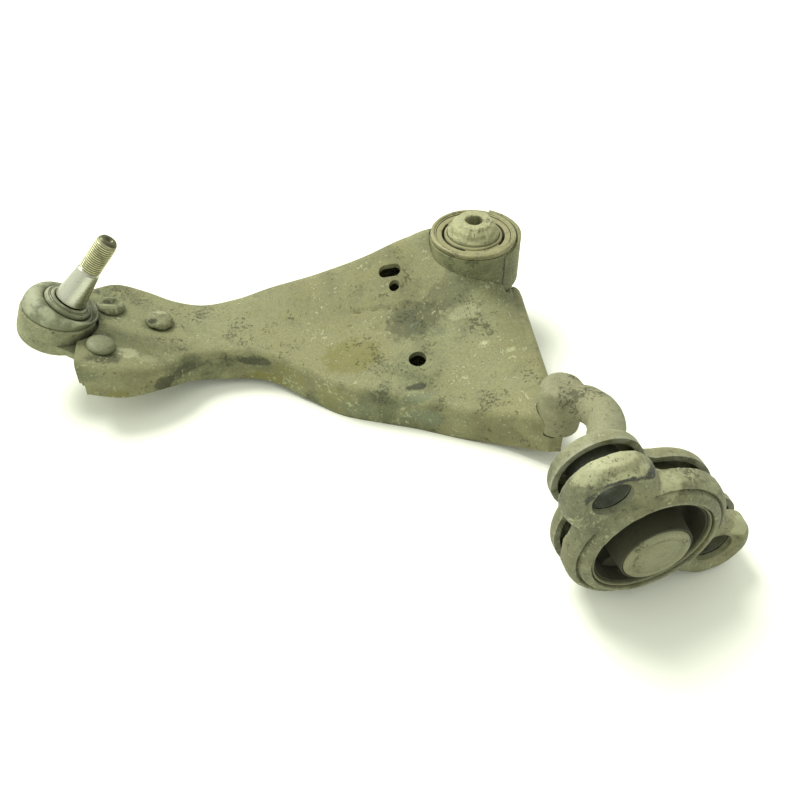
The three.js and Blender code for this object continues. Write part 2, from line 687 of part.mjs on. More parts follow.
const bootDome = ringBody(Array.from({ length: ROUND }, (_, i) => domeProfile((i / ROUND) * 2 * Math.PI)));
const bootLip = turned([
  [BOOT_SEAT_RADIUS + GAP, 13.2], [15.1, 13.2], [15.9, 14], [15.9, 15.4], [15.2, 17], [14.2, 17.8],
  [13.9, 17], [13, 17], [12.8, 18.4], [TAPER_BASE_RADIUS + 1, 19.2], [BOOT_SEAT_RADIUS + GAP, 18.4],
]);
const lipRing = tube(13.2, 13.8, 17.3, 18, 24);

addPiece(ballJoint, 'ball_housing', housing, 'paintedSteel');
addPiece(ballJoint, 'ball_seat', ballSeat, 'plastic');
addPiece(ballJoint, 'ball_closing_cap', closingCap, 'machinedSteel');
addPiece(ballJoint, 'ball_stud', stud, 'machinedSteel').applyMatrix4(studPlace);
addPiece(ballJoint, 'dust_boot_dome', bootDome, 'rubber');
addPiece(ballJoint, 'dust_boot_lip', bootLip, 'rubber').applyMatrix4(studPlace);
addPiece(ballJoint, 'dust_boot_ring', lipRing, 'machinedSteel').applyMatrix4(studPlace);

// ---------------------------------------------------------------- rivets

const shankEnd = FLANGE_TOP - FLANGE_PLATE - GAP;

RIVET_SPOTS.forEach(([x, y, lift], index) => {
  const rivet = turned([
    [0, shankEnd - 2.6], [RIVET_SHANK + 0.5, shankEnd - 2.6], [RIVET_SHANK + 2, shankEnd], [RIVET_SHANK, shankEnd],
    [RIVET_SHANK, 0.6 + lift], [RIVET_RADIUS, 0.6 + lift], [RIVET_RADIUS, 1.8 + lift],
    [RIVET_RADIUS * 0.86, RIVET_HEIGHT * 0.68 + lift], [RIVET_RADIUS * 0.5, RIVET_HEIGHT * 0.95 + lift],
    [0, RIVET_HEIGHT + lift],
  ], 16);
  addPiece(plate, `rivet_${index + 1}`, rivet, 'paintedSteel').position.set(x, y, 0);
});

// ---------------------------------------------------------------- arm shells, cut for their neighbours

const eyeBore = placed(disc(eyeOuter + GAP, eyeBottom - 10, 20), FRONT_BUSH_PLACE);
const bossClearance = bossSolid(GAP);
const pinClearance = pinSolid(PIN_RADIUS + 1);
const housingBore = placed(disc(HOUSING_RADIUS + 2.2, -60, 40), BALL_PLACE);
const wrapClearance = placed(eyeWrap(GAP), FRONT_BUSH_PLACE);

function roundHole(x, y, radius) {
  const hole = disc(radius, -5, 120, 24);
  hole.translate(x, y, 0);
  return hole;
}

function slotHole(x, y, halfLength, radius, angle) {
  const slot = prism(new THREE.Shape([
    ...arc(halfLength, 0, radius, -Math.PI / 2, Math.PI / 2, 8),
    ...arc(-halfLength, 0, radius, Math.PI / 2, 1.5 * Math.PI, 8),
  ]), 25, 100);
  slot.rotateZ(angle);
  slot.translate(x, y, 0);
  return slot;
}

const plateHoles = rivetHoles.map((hole) => placed(hole, PLATE_PLACE));
const roofHoles = [slotHole(-64, 272, 3.5, 4.2, -0.3), roundHole(-64, 261, 3.7), roundHole(-65, 204, 6)];

const upper = cut(upperShell(), eyeBore, wrapClearance, bossClearance, pinClearance, housingBore, ...plateHoles, ...roofHoles);
const lower = cut(lowerShell(), eyeBore, wrapClearance, bossClearance, pinClearance, housingBore);
addPiece(controlArm, 'arm_upper_shell', upper, 'paintedSteel');
addPiece(controlArm, 'arm_lower_shell', lower, 'paintedSteel');
addPiece(frontBush, 'front_bush_eye', eye(), 'paintedSteel');
addPiece(frontBush, 'front_bush_eye_wrap', eyeWrap(0), 'paintedSteel');

// The origin is the middle of the underside of the part's bounding box.
const extent = new THREE.Box3().setFromObject(controlArm, true);
const middle = extent.getCenter(new THREE.Vector3());
controlArm.position.set(-middle.x, -middle.y, -extent.min.z);

export default controlArm;
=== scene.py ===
import math

import bmesh
import bpy
import numpy as np
from bpy.props import FloatProperty, IntProperty, PointerProperty, StringProperty
from mathutils import Matrix, Vector, noise


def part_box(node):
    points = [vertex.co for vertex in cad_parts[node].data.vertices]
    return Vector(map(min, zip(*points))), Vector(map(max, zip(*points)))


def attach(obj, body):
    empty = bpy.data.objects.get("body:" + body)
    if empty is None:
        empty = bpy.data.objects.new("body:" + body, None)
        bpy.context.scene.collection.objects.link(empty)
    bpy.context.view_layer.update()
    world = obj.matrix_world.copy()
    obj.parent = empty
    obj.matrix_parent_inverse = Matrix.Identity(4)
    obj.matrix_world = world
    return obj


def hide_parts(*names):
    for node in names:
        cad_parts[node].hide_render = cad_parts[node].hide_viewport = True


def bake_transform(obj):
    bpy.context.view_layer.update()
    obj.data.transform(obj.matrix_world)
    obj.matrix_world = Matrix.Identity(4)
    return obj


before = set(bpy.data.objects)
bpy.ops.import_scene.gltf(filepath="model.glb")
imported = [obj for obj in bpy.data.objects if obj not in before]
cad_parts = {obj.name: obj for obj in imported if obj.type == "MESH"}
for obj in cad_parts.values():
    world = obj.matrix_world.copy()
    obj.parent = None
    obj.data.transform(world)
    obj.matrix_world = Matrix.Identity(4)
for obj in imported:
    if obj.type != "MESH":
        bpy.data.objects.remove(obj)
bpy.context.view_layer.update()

bl_info = {
    "name": "Front lower control arm",
    "version": (1, 0, 0),
    "blender": (4, 5, 0),
    "location": "3D View > Sidebar > Control arm",
    "description": "Builds the visible pieces of a used pressed-steel control arm",
    "category": "Object",
}

# Shapes are worked out in millimetres from the rear bush's pivot line, as the arm is drawn.
# The front bush's core gives where that drawing sits in the part's own frame.
CORE_LOW, CORE_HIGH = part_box("front_bush_core")
DRAWN_BUSH_X, DRAWN_BUSH_Y, DRAWN_BUSH_TOP = -1.5, 273.5, 79.0
SHIFT = np.array([
    500 * (CORE_LOW.x + CORE_HIGH.x) - DRAWN_BUSH_X,
    500 * (CORE_LOW.y + CORE_HIGH.y) - DRAWN_BUSH_Y,
    1000 * CORE_HIGH.z - DRAWN_BUSH_TOP - 10.0,
])

GAP = 0.3
SHEET = 3.5
EDGE_RADIUS = 8.0
CORNER_POWER = 0.72  # below 1, a pressed corner is tighter than a round one
SHELL_GAP = 0.9
TRAY_WALL = 8.0


# ---------------------------------------------------------------- sizes and colours a user changes

class ControlArmSizes(bpy.types.PropertyGroup):
    """Sizes of the arm's visible detail"""

    thread_pitch: FloatProperty(
        name="Thread pitch", description="Distance from one crest of the stud's thread to the next",
        default=0.0015, min=0.0008, max=0.003, precision=5, subtype="DISTANCE", unit="LENGTH")
    thread_depth: FloatProperty(
        name="Thread depth", description="Height of the stud's thread from root to crest",
        default=0.0010, min=0.0003, max=0.0015, precision=5, subtype="DISTANCE", unit="LENGTH")
    bracket_edge: FloatProperty(
        name="Bracket edge", description="Radius of the bracket shells' outer edges",
        default=0.0055, min=0.002, max=0.008, precision=4, subtype="DISTANCE", unit="LENGTH")
    mud_height: FloatProperty(
        name="Mud height", description="How far dried mud stands off the surface",
        default=0.0009, min=0.0, max=0.003, precision=5, subtype="DISTANCE", unit="LENGTH")
    round_steps: IntProperty(
        name="Round steps", description="Faces around each turned piece",
        default=96, min=24, max=192)
    shell_steps: IntProperty(
        name="Shell steps", description="Rows of faces along the pressed arm",
        default=260, min=60, max=500)


class ControlArmColours(bpy.types.PropertyGroup):
    """Colours of the arm's finishes, as sRGB hex values"""

    paint: StringProperty(name="Paint", description="Faded coat on the pressed arm", default="#5a5e40")
    dust: StringProperty(name="Dust", description="Dried road dust lying on the paint", default="#83845f")
    black: StringProperty(name="Black coat", description="Bare patches of the bracket's black coat", default="#1d1e15")
    mud: StringProperty(name="Mud", description="Flecks of dried mud", default="#a9aa84")
    # The grime colour is real grime in pits and patches, and also the painted shade that darkens hollows.
    grime_and_shade: StringProperty(name="Grime", description="Dark grime in hollows and pits", default="#3a3c25")
    clay: StringProperty(name="Clay", description="Yellow clay stain on the arm's flanks", default="#716e38")
    bracket: StringProperty(name="Bracket paint", description="Coat on the rear bracket", default="#5b5d42")
    bare: StringProperty(name="Chipped steel", description="Steel where the bracket's coat has gone", default="#626d56")
    forging: StringProperty(name="Forging", description="Shot-blasted forged steel", default="#8b8c70")
    turned: StringProperty(name="Turned steel", description="Ground and turned steel of the stud", default="#b9baaa")
    bush_rubber: StringProperty(name="Bush rubber", description="Rubber inside both bushes", default="#33331f")
    boot_rubber: StringProperty(name="Boot rubber", description="Rubber of the dust boot", default="#6a6e52")
    floor: StringProperty(name="Floor", description="Pale floor under the arm", default="#f7f9ee")


# ---------------------------------------------------------------- small helpers

def linear(hex_colour):
    """sRGB hex value to linear RGBA."""
    channels = [int(hex_colour[i:i + 2], 16) / 255 for i in (1, 3, 5)]
    return [c / 12.92 if c <= 0.04045 else ((c + 0.055) / 1.055) ** 2.4 for c in channels] + [1.0]


def add(tree, kind, inputs=None, **settings):
    """Adds a node, sets its settings, and sets or links its inputs."""
    node = tree.nodes.new(kind)
    for key, value in settings.items():
        setattr(node, key, value)
    for key, value in (inputs or {}).items():
        if isinstance(value, bpy.types.NodeSocket):
            tree.links.new(value, node.inputs[key])
        else:
            node.inputs[key].default_value = value
    return node


def design(x, y, z):
    """A drawn place in millimetres, as metres in the part's frame."""
    return Vector((np.array([x, y, z]) + SHIFT) / 1000)


def smooth(value, low, high):
    t = np.clip((np.asarray(value, float) - low) / (high - low), 0, 1)
    return t * t * (3 - 2 * t)


def place_at(x, y, z, axis=None, degrees=0.0):
    matrix = Matrix.Translation((x, y, z))
    return matrix @ Matrix.Rotation(math.radians(degrees), 4, axis) if axis else matrix


FRONT_PLACE = place_at(DRAWN_BUSH_X, DRAWN_BUSH_Y, DRAWN_BUSH_TOP)
REAR_PLACE = place_at(0, 0, 50, "X", 92.7)
BALL_PLACE = place_at(-288, 290, 62.5, "Y", 23)
STUD_PLACE = BALL_PLACE @ place_at(0, 0, -7.9, "Y", 17.3)
PLATE_PLACE = place_at(-250, 290, 42.6, "Y", 18.5)


def moved(points, matrix):
    m = np.array(matrix)
    return np.asarray(points, float) @ m[:3, :3].T + m[:3, 3]


def body_mesh(name, points, faces, place=Matrix.Identity(4), sharp=38.0):
    """A closed body from points in millimetres, as a new object in the part's frame."""
    where = (moved(points, place) + SHIFT) / 1000
    mesh = bpy.data.meshes.new(name)
    mesh.from_pydata(where.tolist(), [], [tuple(int(i) for i in f) for f in faces])
    work = bmesh.new()
    work.from_mesh(mesh)
    bmesh.ops.remove_doubles(work, verts=work.verts, dist=2e-6)
    bmesh.ops.dissolve_degenerate(work, edges=work.edges, dist=1e-7)
    bmesh.ops.recalc_face_normals(work, faces=work.faces)
    work.to_mesh(mesh)
    work.free()
    shade(mesh, sharp)
    item = bpy.data.objects.new(name, mesh)
    bpy.context.scene.collection.objects.link(item)
    return item


def shade(mesh, sharp):
    mesh.shade_smooth()
    mesh.set_sharp_from_angle(angle=math.radians(sharp))


def settle(item, sharp=38.0):
    """Makes the result of an object's modifiers its own mesh."""
    bpy.context.view_layer.update()
    result = bpy.data.meshes.new_from_object(item.evaluated_get(bpy.context.evaluated_depsgraph_get()))
    old = item.data
    item.modifiers.clear()
    item.data = result
    bpy.data.meshes.remove(old)
    shade(result, sharp)
    return item


def carve(item, tools, operation="DIFFERENCE", sharp=38.0):
    """Cuts tools out of an object, or joins them to it, and removes them."""
    count = len(item.data.polygons)
    for tool in tools:
        step = item.modifiers.new(tool.name, "BOOLEAN")
        step.operation = operation
        step.solver = "MANIFOLD"
        step.object = tool
    settle(item, sharp)
    if not len(item.data.polygons) or len(item.data.polygons) == count:
        raise RuntimeError(f"{item.name}: its cutters changed nothing")
    for tool in tools:
        bpy.data.objects.remove(tool)
    return item


def ring_faces(rows, columns, loop_rows=False, loop_columns=True):
    """Quads between the rows of a grid of points."""
    faces = []
    for i in range(rows if loop_rows else rows - 1):
        a, b = i * columns, ((i + 1) % rows) * columns
        for j in range(columns if loop_columns else columns - 1):
            k = (j + 1) % columns
            faces.append((a + j, a + k, b + k, b + j))
    return faces


def filleted(corners, radius, steps=4):
    """Rounds the corners of a closed outline. A corner's own radius may follow its two numbers."""
    points = []
    count = len(corners)
    for i, corner in enumerate(corners):
        here = np.array(corner[:2], float)
        want = corner[2] if len(corner) > 2 else radius
        before = np.array(corners[i - 1][:2], float) - here
        after = np.array(corners[(i + 1) % count][:2], float) - here
        reach = min(want, 0.48 * np.linalg.norm(before), 0.48 * np.linalg.norm(after))
        if reach < 0.02 or here[0] < 1e-6:
            points.extend([here] * (steps + 1))
            continue
        start = here + before / np.linalg.norm(before) * reach
        end = here + after / np.linalg.norm(after) * reach
        for t in np.linspace(0, 1, steps + 1):
            points.append((1 - t) ** 2 * start + 2 * t * (1 - t) * here + t * t * end)
    return np.array(points)


def turned(name, corners, radius=0.6, place=Matrix.Identity(4), segments=96, start=0.0, end=360.0, sharp=38.0):
    """A turned piece about Z, or a sector of one, from a closed outline of radius and height."""
    outline = filleted(corners, radius)
    whole = end - start >= 359.9
    angles = np.radians(np.linspace(start, end, segments + (0 if whole else 1), endpoint=not whole))
    points = np.array([[r * math.cos(a), r * math.sin(a), z] for a in angles for r, z in outline])
    faces = ring_faces(len(angles), len(outline), loop_rows=whole)
    if not whole:
        last = (len(angles) - 1) * len(outline)
        faces.append(tuple(range(len(outline))))
        faces.append(tuple(last + i for i in range(len(outline))))
    return body_mesh(name, points, faces, place, sharp)


def dirt_displace(item, height, size, seed, along=None):
    """Pushes the points of a mesh out or in a little, as dried mud and dents do. Sizes in metres."""
    mesh = item.data
    offset = Vector((seed * 3.1, seed * 1.7, seed * 2.3))
    normals = [v.normal.copy() for v in mesh.vertices]
    for vertex, normal in zip(mesh.vertices, normals):
        value = noise.fractal(vertex.co / size + offset, 0.9, 2.1, 4)
        if along is not None:
            value *= along(vertex.co * 1000 - Vector(SHIFT))
        vertex.co += normal * height * value
    mesh.update()


def finish_piece(item, body, slot, material, *nodes):
    """Gives a piece its material and its body, and hides the CAD pieces that it stands for. The slot is not used."""
    item.data.materials.clear()
    item.data.materials.append(material)
    if body:
        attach(item, body)
    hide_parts(*nodes)
    return item


# ---------------------------------------------------------------- materials

PAINT_PATCHES = [
    # place in mm, three radii in mm, colour key, strength
    ((-107, 222, 33), (24, 19, 14), "clay", 0.75),
    ((-62, 231, 50), (30, 19, 20), "grime_and_shade", 0.62),
    ((-34, 240, 58), (22, 12, 20), "grime_and_shade", 0.42),
    ((-84, 238, 50), (16, 9, 14), "grime_and_shade", 0.35),
    ((-60, 230, 50), (9, 6, 12), "bare", 0.75),
    ((-252, 257, 42), (10, 8, 8), "mud", 0.9),
    ((-238, 252, 40), (9, 5, 8), "mud", 0.4),
    # Painted shadow beneath rivet 2, in the grime colour.
    ((-266, 250, 44), (15, 8, 12), "grime_and_shade", 0.75),
    ((-270, 300, 50), (9, 22, 12), "grime_and_shade", 0.5),
    ((-21, 197, 47), (10, 3.8, 8), "mud", 1.0),
    ((-6, 187, 47), (9, 4.2, 8), "mud", 1.0),
    ((-24, 226, 50), (14, 6, 12), "mud", 0.45),
    ((-180, 247, 22), (30, 8, 6), "grime_and_shade", 0.9),
    ((-212, 250, 24), (24, 8, 6), "grime_and_shade", 0.65),
    ((-170, 240, 9), (26, 14, 6), "clay", 0.85),
    ((-148, 232, 16), (34, 12, 12), "clay", 0.6),
    ((-122, 205, 12), (26, 16, 14), "clay", 0.5),
    ((-74, 170, 12), (32, 10, 8), "bare", 0.7),
    ((-82, 176, 26), (26, 5, 5), "bare", 0.55),
    ((-110, 196, 8), (24, 12, 8), "bare", 0.4),
    ((-73, 184, 30), (10, 3.5, 6), "grime_and_shade", 0.95),
    ((-232, 244, 24), (10, 8, 6), "grime_and_shade", 0.8),
    ((-262, 240, 24), (9, 8, 6), "clay", 0.6),
    ((-18, 262, 62), (14, 8, 10), "grime_and_shade", 0.4),
    ((-10, 160, 42), (20, 10, 12), "dust", 0.5),
    ((-160, 286, 36), (40, 12, 14), "dust", 0.35),
    ((-259, 303, 47), (14, 12, 10), "grime_and_shade", 0.55),
    ((-228, 289, 42), (13, 10, 10), "grime_and_shade", 0.55),
    # Painted shadow beneath rivet 2, in the grime colour.
    ((-262, 256, 42), (13, 8, 10), "grime_and_shade", 0.5),
]

RIVET_PATCHES = [
    ((-258, 309, 52), (8, 2.8, 6), "grime_and_shade", 0.95),
    ((-257, 301, 52), (8, 2.0, 6), "mud", 0.6),
    ((-231, 288, 44), (6, 4, 6), "grime_and_shade", 0.95),
    ((-224, 297, 44), (5, 4, 6), "mud", 0.8),
]


BRACKET_PATCHES = [
    # place in the bracket's own frame, radii, colour key, strength
    ((-25, 63, -9), (17, 9, 5.5), "mud", 0.7),
    ((-29, 60, -12), (15, 9, 4.2), "black", 1.0),
    ((-14, 60, -11), (9, 9, 3.6), "black", 0.95),
    ((-43, 53, -12), (5, 9, 6.0), "black", 0.9),
    # Partly mud, partly painted highlight on the top of the bore's ring.
    ((1, 44, -12), (8, 10, 8), "mud", 0.75),
    ((-45, 64, -18), (14, 9, 7), "mud", 0.55),
    ((-50, 20, -14), (12, 9, 12), "grime_and_shade", 0.4),
    ((-33, 70, -20), (22, 9, 6), "mud", 0.8),
    # Partly mud, partly painted highlight on the upper part of the bore's ring.
    ((18, 46, -16), (16, 9, 5), "mud", 0.45),
    ((-20, -44, -12), (26, 9, 8), "grime_and_shade", 0.45),
    ((-38, 22, -8), (13, 6, 13), "grime_and_shade", 0.3),
    ((30, 36, -8), (13, 7, 8), "mud", 0.35),
    ((58, -12, -12), (10, 9, 7), "mud", 0.6),
]


def patch(tree, coordinates, centre, radii):
    """Soft-edged mask round a place on a piece."""
    offset = add(tree, "ShaderNodeVectorMath", {0: coordinates, 1: design(*centre)}, operation="SUBTRACT")
    size = [1000 / r for r in radii]
    scaled = add(tree, "ShaderNodeVectorMath", {0: offset.outputs[0], 1: size}, operation="MULTIPLY")
    far = add(tree, "ShaderNodeVectorMath", {0: scaled.outputs[0]}, operation="LENGTH")
    return add(tree, "ShaderNodeMapRange", {0: far.outputs["Value"], 1: 1.25, 2: 0.45, 3: 0.0, 4: 1.0},
               interpolation_type="SMOOTHSTEP").outputs[0]


def blend_colour(tree, factor, first, second):
    return add(tree, "ShaderNodeMix", {0: factor, 6: first, 7: second}, data_type="RGBA").outputs[2]


def weathered(name, base, cover, colours, grain_mm=1.4, fleck_mm=2.6, fleck=0.5, pits=0.4, cover_share=0.5,
              roughness=0.72, metallic=0.0, bump_mm=0.35, patches=(), edge=None, hollow=0.6):
    """A coat or a metal that has been on the road: mottled cover, flecks of mud and dark pits, with painted shade
    darkening its hollows.
    """
    material = bpy.data.materials.new(name)
    material.use_nodes = True
    tree = material.node_tree
    tree.nodes.clear()
    place = add(tree, "ShaderNodeTexCoord").outputs["Object"]
    wander = add(tree, "ShaderNodeTexNoise", {"Vector": place, "Scale": 1000 / 14, "Detail": 4.0})
    shifted = add(tree, "ShaderNodeVectorMath", {0: wander.outputs["Color"], 1: (0.5, 0.5, 0.5)}, operation="SUBTRACT")
    bent = add(tree, "ShaderNodeVectorMath", {0: shifted.outputs[0], 1: (0.014, 0.014, 0.014), 2: place},
               operation="MULTIPLY_ADD").outputs[0]
    near = add(tree, "ShaderNodeVectorMath", {0: shifted.outputs[0], 1: (0.004, 0.004, 0.004), 2: place},
               operation="MULTIPLY_ADD").outputs[0]
    broad = add(tree, "ShaderNodeTexNoise", {"Vector": place, "Scale": 1000 / 46, "Detail": 6.0, "Roughness": 0.68})
    middle = add(tree, "ShaderNodeTexNoise", {"Vector": bent, "Scale": 1000 / 11, "Detail": 7.0, "Roughness": 0.68})
    fine = add(tree, "ShaderNodeTexNoise", {"Vector": place, "Scale": 1000 / grain_mm, "Detail": 3.0, "Roughness": 0.6})
    normal = add(tree, "ShaderNodeNewGeometry").outputs["Normal"]
    up = add(tree, "ShaderNodeSeparateXYZ", {0: normal}).outputs[2]
    mixed = add(tree, "ShaderNodeMath", {0: broad.outputs[0], 1: 0.55, 2: 0.0}, operation="MULTIPLY_ADD")
    mixed = add(tree, "ShaderNodeMath", {0: middle.outputs[0], 1: 0.45, 2: mixed.outputs[0]}, operation="MULTIPLY_ADD")
    mixed = add(tree, "ShaderNodeMath", {0: up, 1: 0.10, 2: mixed.outputs[0]}, operation="MULTIPLY_ADD")
    low = 0.68 - 0.30 * cover_share
    lying = add(tree, "ShaderNodeMapRange", {0: mixed.outputs[0], 1: low - 0.11, 2: low + 0.11, 3: 0.0, 4: 1.0},
                interpolation_type="SMOOTHSTEP").outputs[0]
    colour = blend_colour(tree, lying, linear(base), linear(cover))
    tone = add(tree, "ShaderNodeMapRange", {0: fine.outputs[0], 1: 0.3, 2: 0.7, 3: 0.80, 4: 1.20}).outputs[0]
    tinted = add(tree, "ShaderNodeVectorMath", {0: colour, "Scale": tone}, operation="SCALE").outputs[0]
    drift = add(tree, "ShaderNodeTexNoise", {"Vector": place, "Scale": 1000 / 75, "Detail": 3.0}).outputs[0]
    drift = add(tree, "ShaderNodeMapRange", {0: drift, 1: 0.42, 2: 0.62, 3: 0.0, 4: 0.35}).outputs[0]
    colour = blend_colour(tree, drift, tinted, linear("#7c754c"))
    tatter = add(tree, "ShaderNodeTexNoise", {"Vector": place, "Scale": 1000 / 5, "Detail": 8.0,
                                              "Roughness": 0.74}).outputs[0]
    for centre, radii, key, strength in patches:
        if patches is BRACKET_PATCHES:
            centre = REAR_PLACE @ Vector(centre)
        mask = patch(tree, near, centre, radii)
        ragged = add(tree, "ShaderNodeMath", {0: tatter, 1: 2.4, 2: mask}, operation="MULTIPLY_ADD").outputs[0]
        shown = add(tree, "ShaderNodeMapRange", {0: ragged, 1: 1.58, 2: 2.0, 3: 0.0, 4: strength}).outputs[0]
        colour = blend_colour(tree, shown, colour, linear(getattr(colours, key)))
    # Crumbs of dry mud lie where mud has gathered, and small dark pits where the coat has let go.
    crumb = add(tree, "ShaderNodeTexNoise", {"Vector": place, "Scale": 1000 / fleck_mm, "Detail": 5.0,
                                             "Roughness": 0.75})
    cluster = add(tree, "ShaderNodeTexNoise", {"Vector": place, "Scale": 1000 / 24, "Detail": 5.0, "Roughness": 0.7})
    lift = add(tree, "ShaderNodeMath", {0: cluster.outputs[0], 1: 0.55, 2: crumb.outputs[0]},
               operation="MULTIPLY_ADD").outputs[0]
    mud = add(tree, "ShaderNodeMapRange", {0: lift, 1: 0.940 - 0.13 * fleck, 2: 0.990 - 0.13 * fleck, 3: 0.0,
                                           4: 1.0}).outputs[0]
    mud_shown = add(tree, "ShaderNodeMath", {0: mud, 1: 0.7}, operation="MULTIPLY").outputs[0]
    colour = blend_colour(tree, mud_shown, colour, linear(colours.mud))
    speck = add(tree, "ShaderNodeTexNoise", {"Vector": place, "Scale": 1250 / fleck_mm, "Detail": 5.0,
                                             "Roughness": 0.78})
    sink = add(tree, "ShaderNodeMath", {0: cluster.outputs[0], 1: -1.0, 2: speck.outputs[0]},
               operation="MULTIPLY_ADD").outputs[0]
    pit = add(tree, "ShaderNodeMapRange", {0: sink, 1: 0.185 - 0.13 * pits, 2: 0.245 - 0.13 * pits, 3: 0.0,
                                           4: 0.75}).outputs[0]
    colour = blend_colour(tree, pit, colour, linear(colours.grime_and_shade))
    if edge:
        corner = add(tree, "ShaderNodeNewGeometry").outputs["Pointiness"]
        worn = add(tree, "ShaderNodeMapRange", {0: corner, 1: 0.515, 2: 0.56, 3: 0.0, 4: 0.8}).outputs[0]
        broken = add(tree, "ShaderNodeMapRange", {0: middle.outputs[0], 1: 0.42, 2: 0.55, 3: 0.0, 4: 1.0}).outputs[0]
        chips = add(tree, "ShaderNodeMath", {0: worn, 1: broken}, operation="MULTIPLY").outputs[0]
        colour = blend_colour(tree, chips, colour, linear(edge))
    # Painted shade: where ambient occlusion finds a hollow, the colour is darkened towards grime, as strongly as hollow
    # asks.
    closed = add(tree, "ShaderNodeAmbientOcclusion", {"Distance": 0.010}, samples=4)
    inside = add(tree, "ShaderNodeMapRange", {0: closed.outputs["AO"], 1: 0.30, 2: 0.80, 3: hollow, 4: 0.0}).outputs[0]
    colour = blend_colour(tree, inside, colour, linear(colours.grime_and_shade))
    heights = add(tree, "ShaderNodeMath", {0: fine.outputs[0], 1: 0.45, 2: 0.0}, operation="MULTIPLY_ADD")
    heights = add(tree, "ShaderNodeMath", {0: middle.outputs[0], 1: 1.1, 2: heights.outputs[0]},
                  operation="MULTIPLY_ADD")
    heights = add(tree, "ShaderNodeMath", {0: mud, 1: 0.8, 2: heights.outputs[0]}, operation="MULTIPLY_ADD")
    heights = add(tree, "ShaderNodeMath", {0: pit, 1: -0.8, 2: heights.outputs[0]}, operation="MULTIPLY_ADD")
    relief = add(tree, "ShaderNodeBump", {"Strength": 0.75, "Distance": bump_mm / 1000, "Height": heights.outputs[0]})
    rough = add(tree, "ShaderNodeMapRange",
                {0: middle.outputs[0], 1: 0.3, 2: 0.7, 3: roughness - 0.10, 4: min(roughness + 0.14, 1.0)}).outputs[0]
    shader = add(tree, "ShaderNodeBsdfPrincipled", {
        "Base Color": colour, "Roughness": rough, "Metallic": metallic, "Normal": relief.outputs[0]})
    add(tree, "ShaderNodeOutputMaterial", {0: shader.outputs[0]})
    return material


def rubber(name, base, dusted, share, roughness, grime_and_shade):
    """Moulded rubber: matt, with dust that has settled unevenly and greasy smears."""
    material = bpy.data.materials.new(name)
    material.use_nodes = True
    tree = material.node_tree
    tree.nodes.clear()
    place = add(tree, "ShaderNodeTexCoord").outputs["Object"]
    cloud = add(tree, "ShaderNodeTexNoise", {"Vector": place, "Scale": 1000 / 13, "Detail": 6.0, "Roughness": 0.62})
    grain = add(tree, "ShaderNodeTexNoise", {"Vector": place, "Scale": 1000 / 1.1, "Detail": 2.0})
    normal = add(tree, "ShaderNodeNewGeometry").outputs["Normal"]
    up = add(tree, "ShaderNodeSeparateXYZ", {0: normal}).outputs[2]
    lying = add(tree, "ShaderNodeMath", {0: up, 1: 0.22, 2: cloud.outputs[0]}, operation="MULTIPLY_ADD").outputs[0]
    lying = add(tree, "ShaderNodeMapRange", {0: lying, 1: 0.86 - 0.5 * share, 2: 1.06 - 0.5 * share, 3: 0.0, 4: 1.0},
                interpolation_type="SMOOTHSTEP").outputs[0]
    colour = blend_colour(tree, lying, linear(base), linear(dusted))
    smear = add(tree, "ShaderNodeTexNoise", {"Vector": place, "Scale": 1000 / 5, "Detail": 5.0, "Distortion": 1.2})
    line = add(tree, "ShaderNodeMapRange", {0: smear.outputs[0], 1: 0.56, 2: 0.68, 3: 0.0, 4: 0.4}).outputs[0]
    colour = blend_colour(tree, line, colour, linear(grime_and_shade))
    # Painted shade: hollows found by ambient occlusion are darkened towards the grime colour.
    closed = add(tree, "ShaderNodeAmbientOcclusion", {"Distance": 0.008}, samples=4)
    inside = add(tree, "ShaderNodeMapRange", {0: closed.outputs["AO"], 1: 0.25, 2: 0.75, 3: 0.7, 4: 0.0}).outputs[0]
    colour = blend_colour(tree, inside, colour, linear(grime_and_shade))
    heights = add(tree, "ShaderNodeMath", {0: grain.outputs[0], 1: 0.4, 2: cloud.outputs[0]}, operation="MULTIPLY_ADD")
    relief = add(tree, "ShaderNodeBump", {"Strength": 0.5, "Distance": 0.0004, "Height": heights.outputs[0]})
    shader = add(tree, "ShaderNodeBsdfPrincipled", {
        "Base Color": colour, "Roughness": roughness, "IOR": 1.52, "Normal": relief.outputs[0]})
    add(tree, "ShaderNodeOutputMaterial", {0: shader.outputs[0]})
    return material


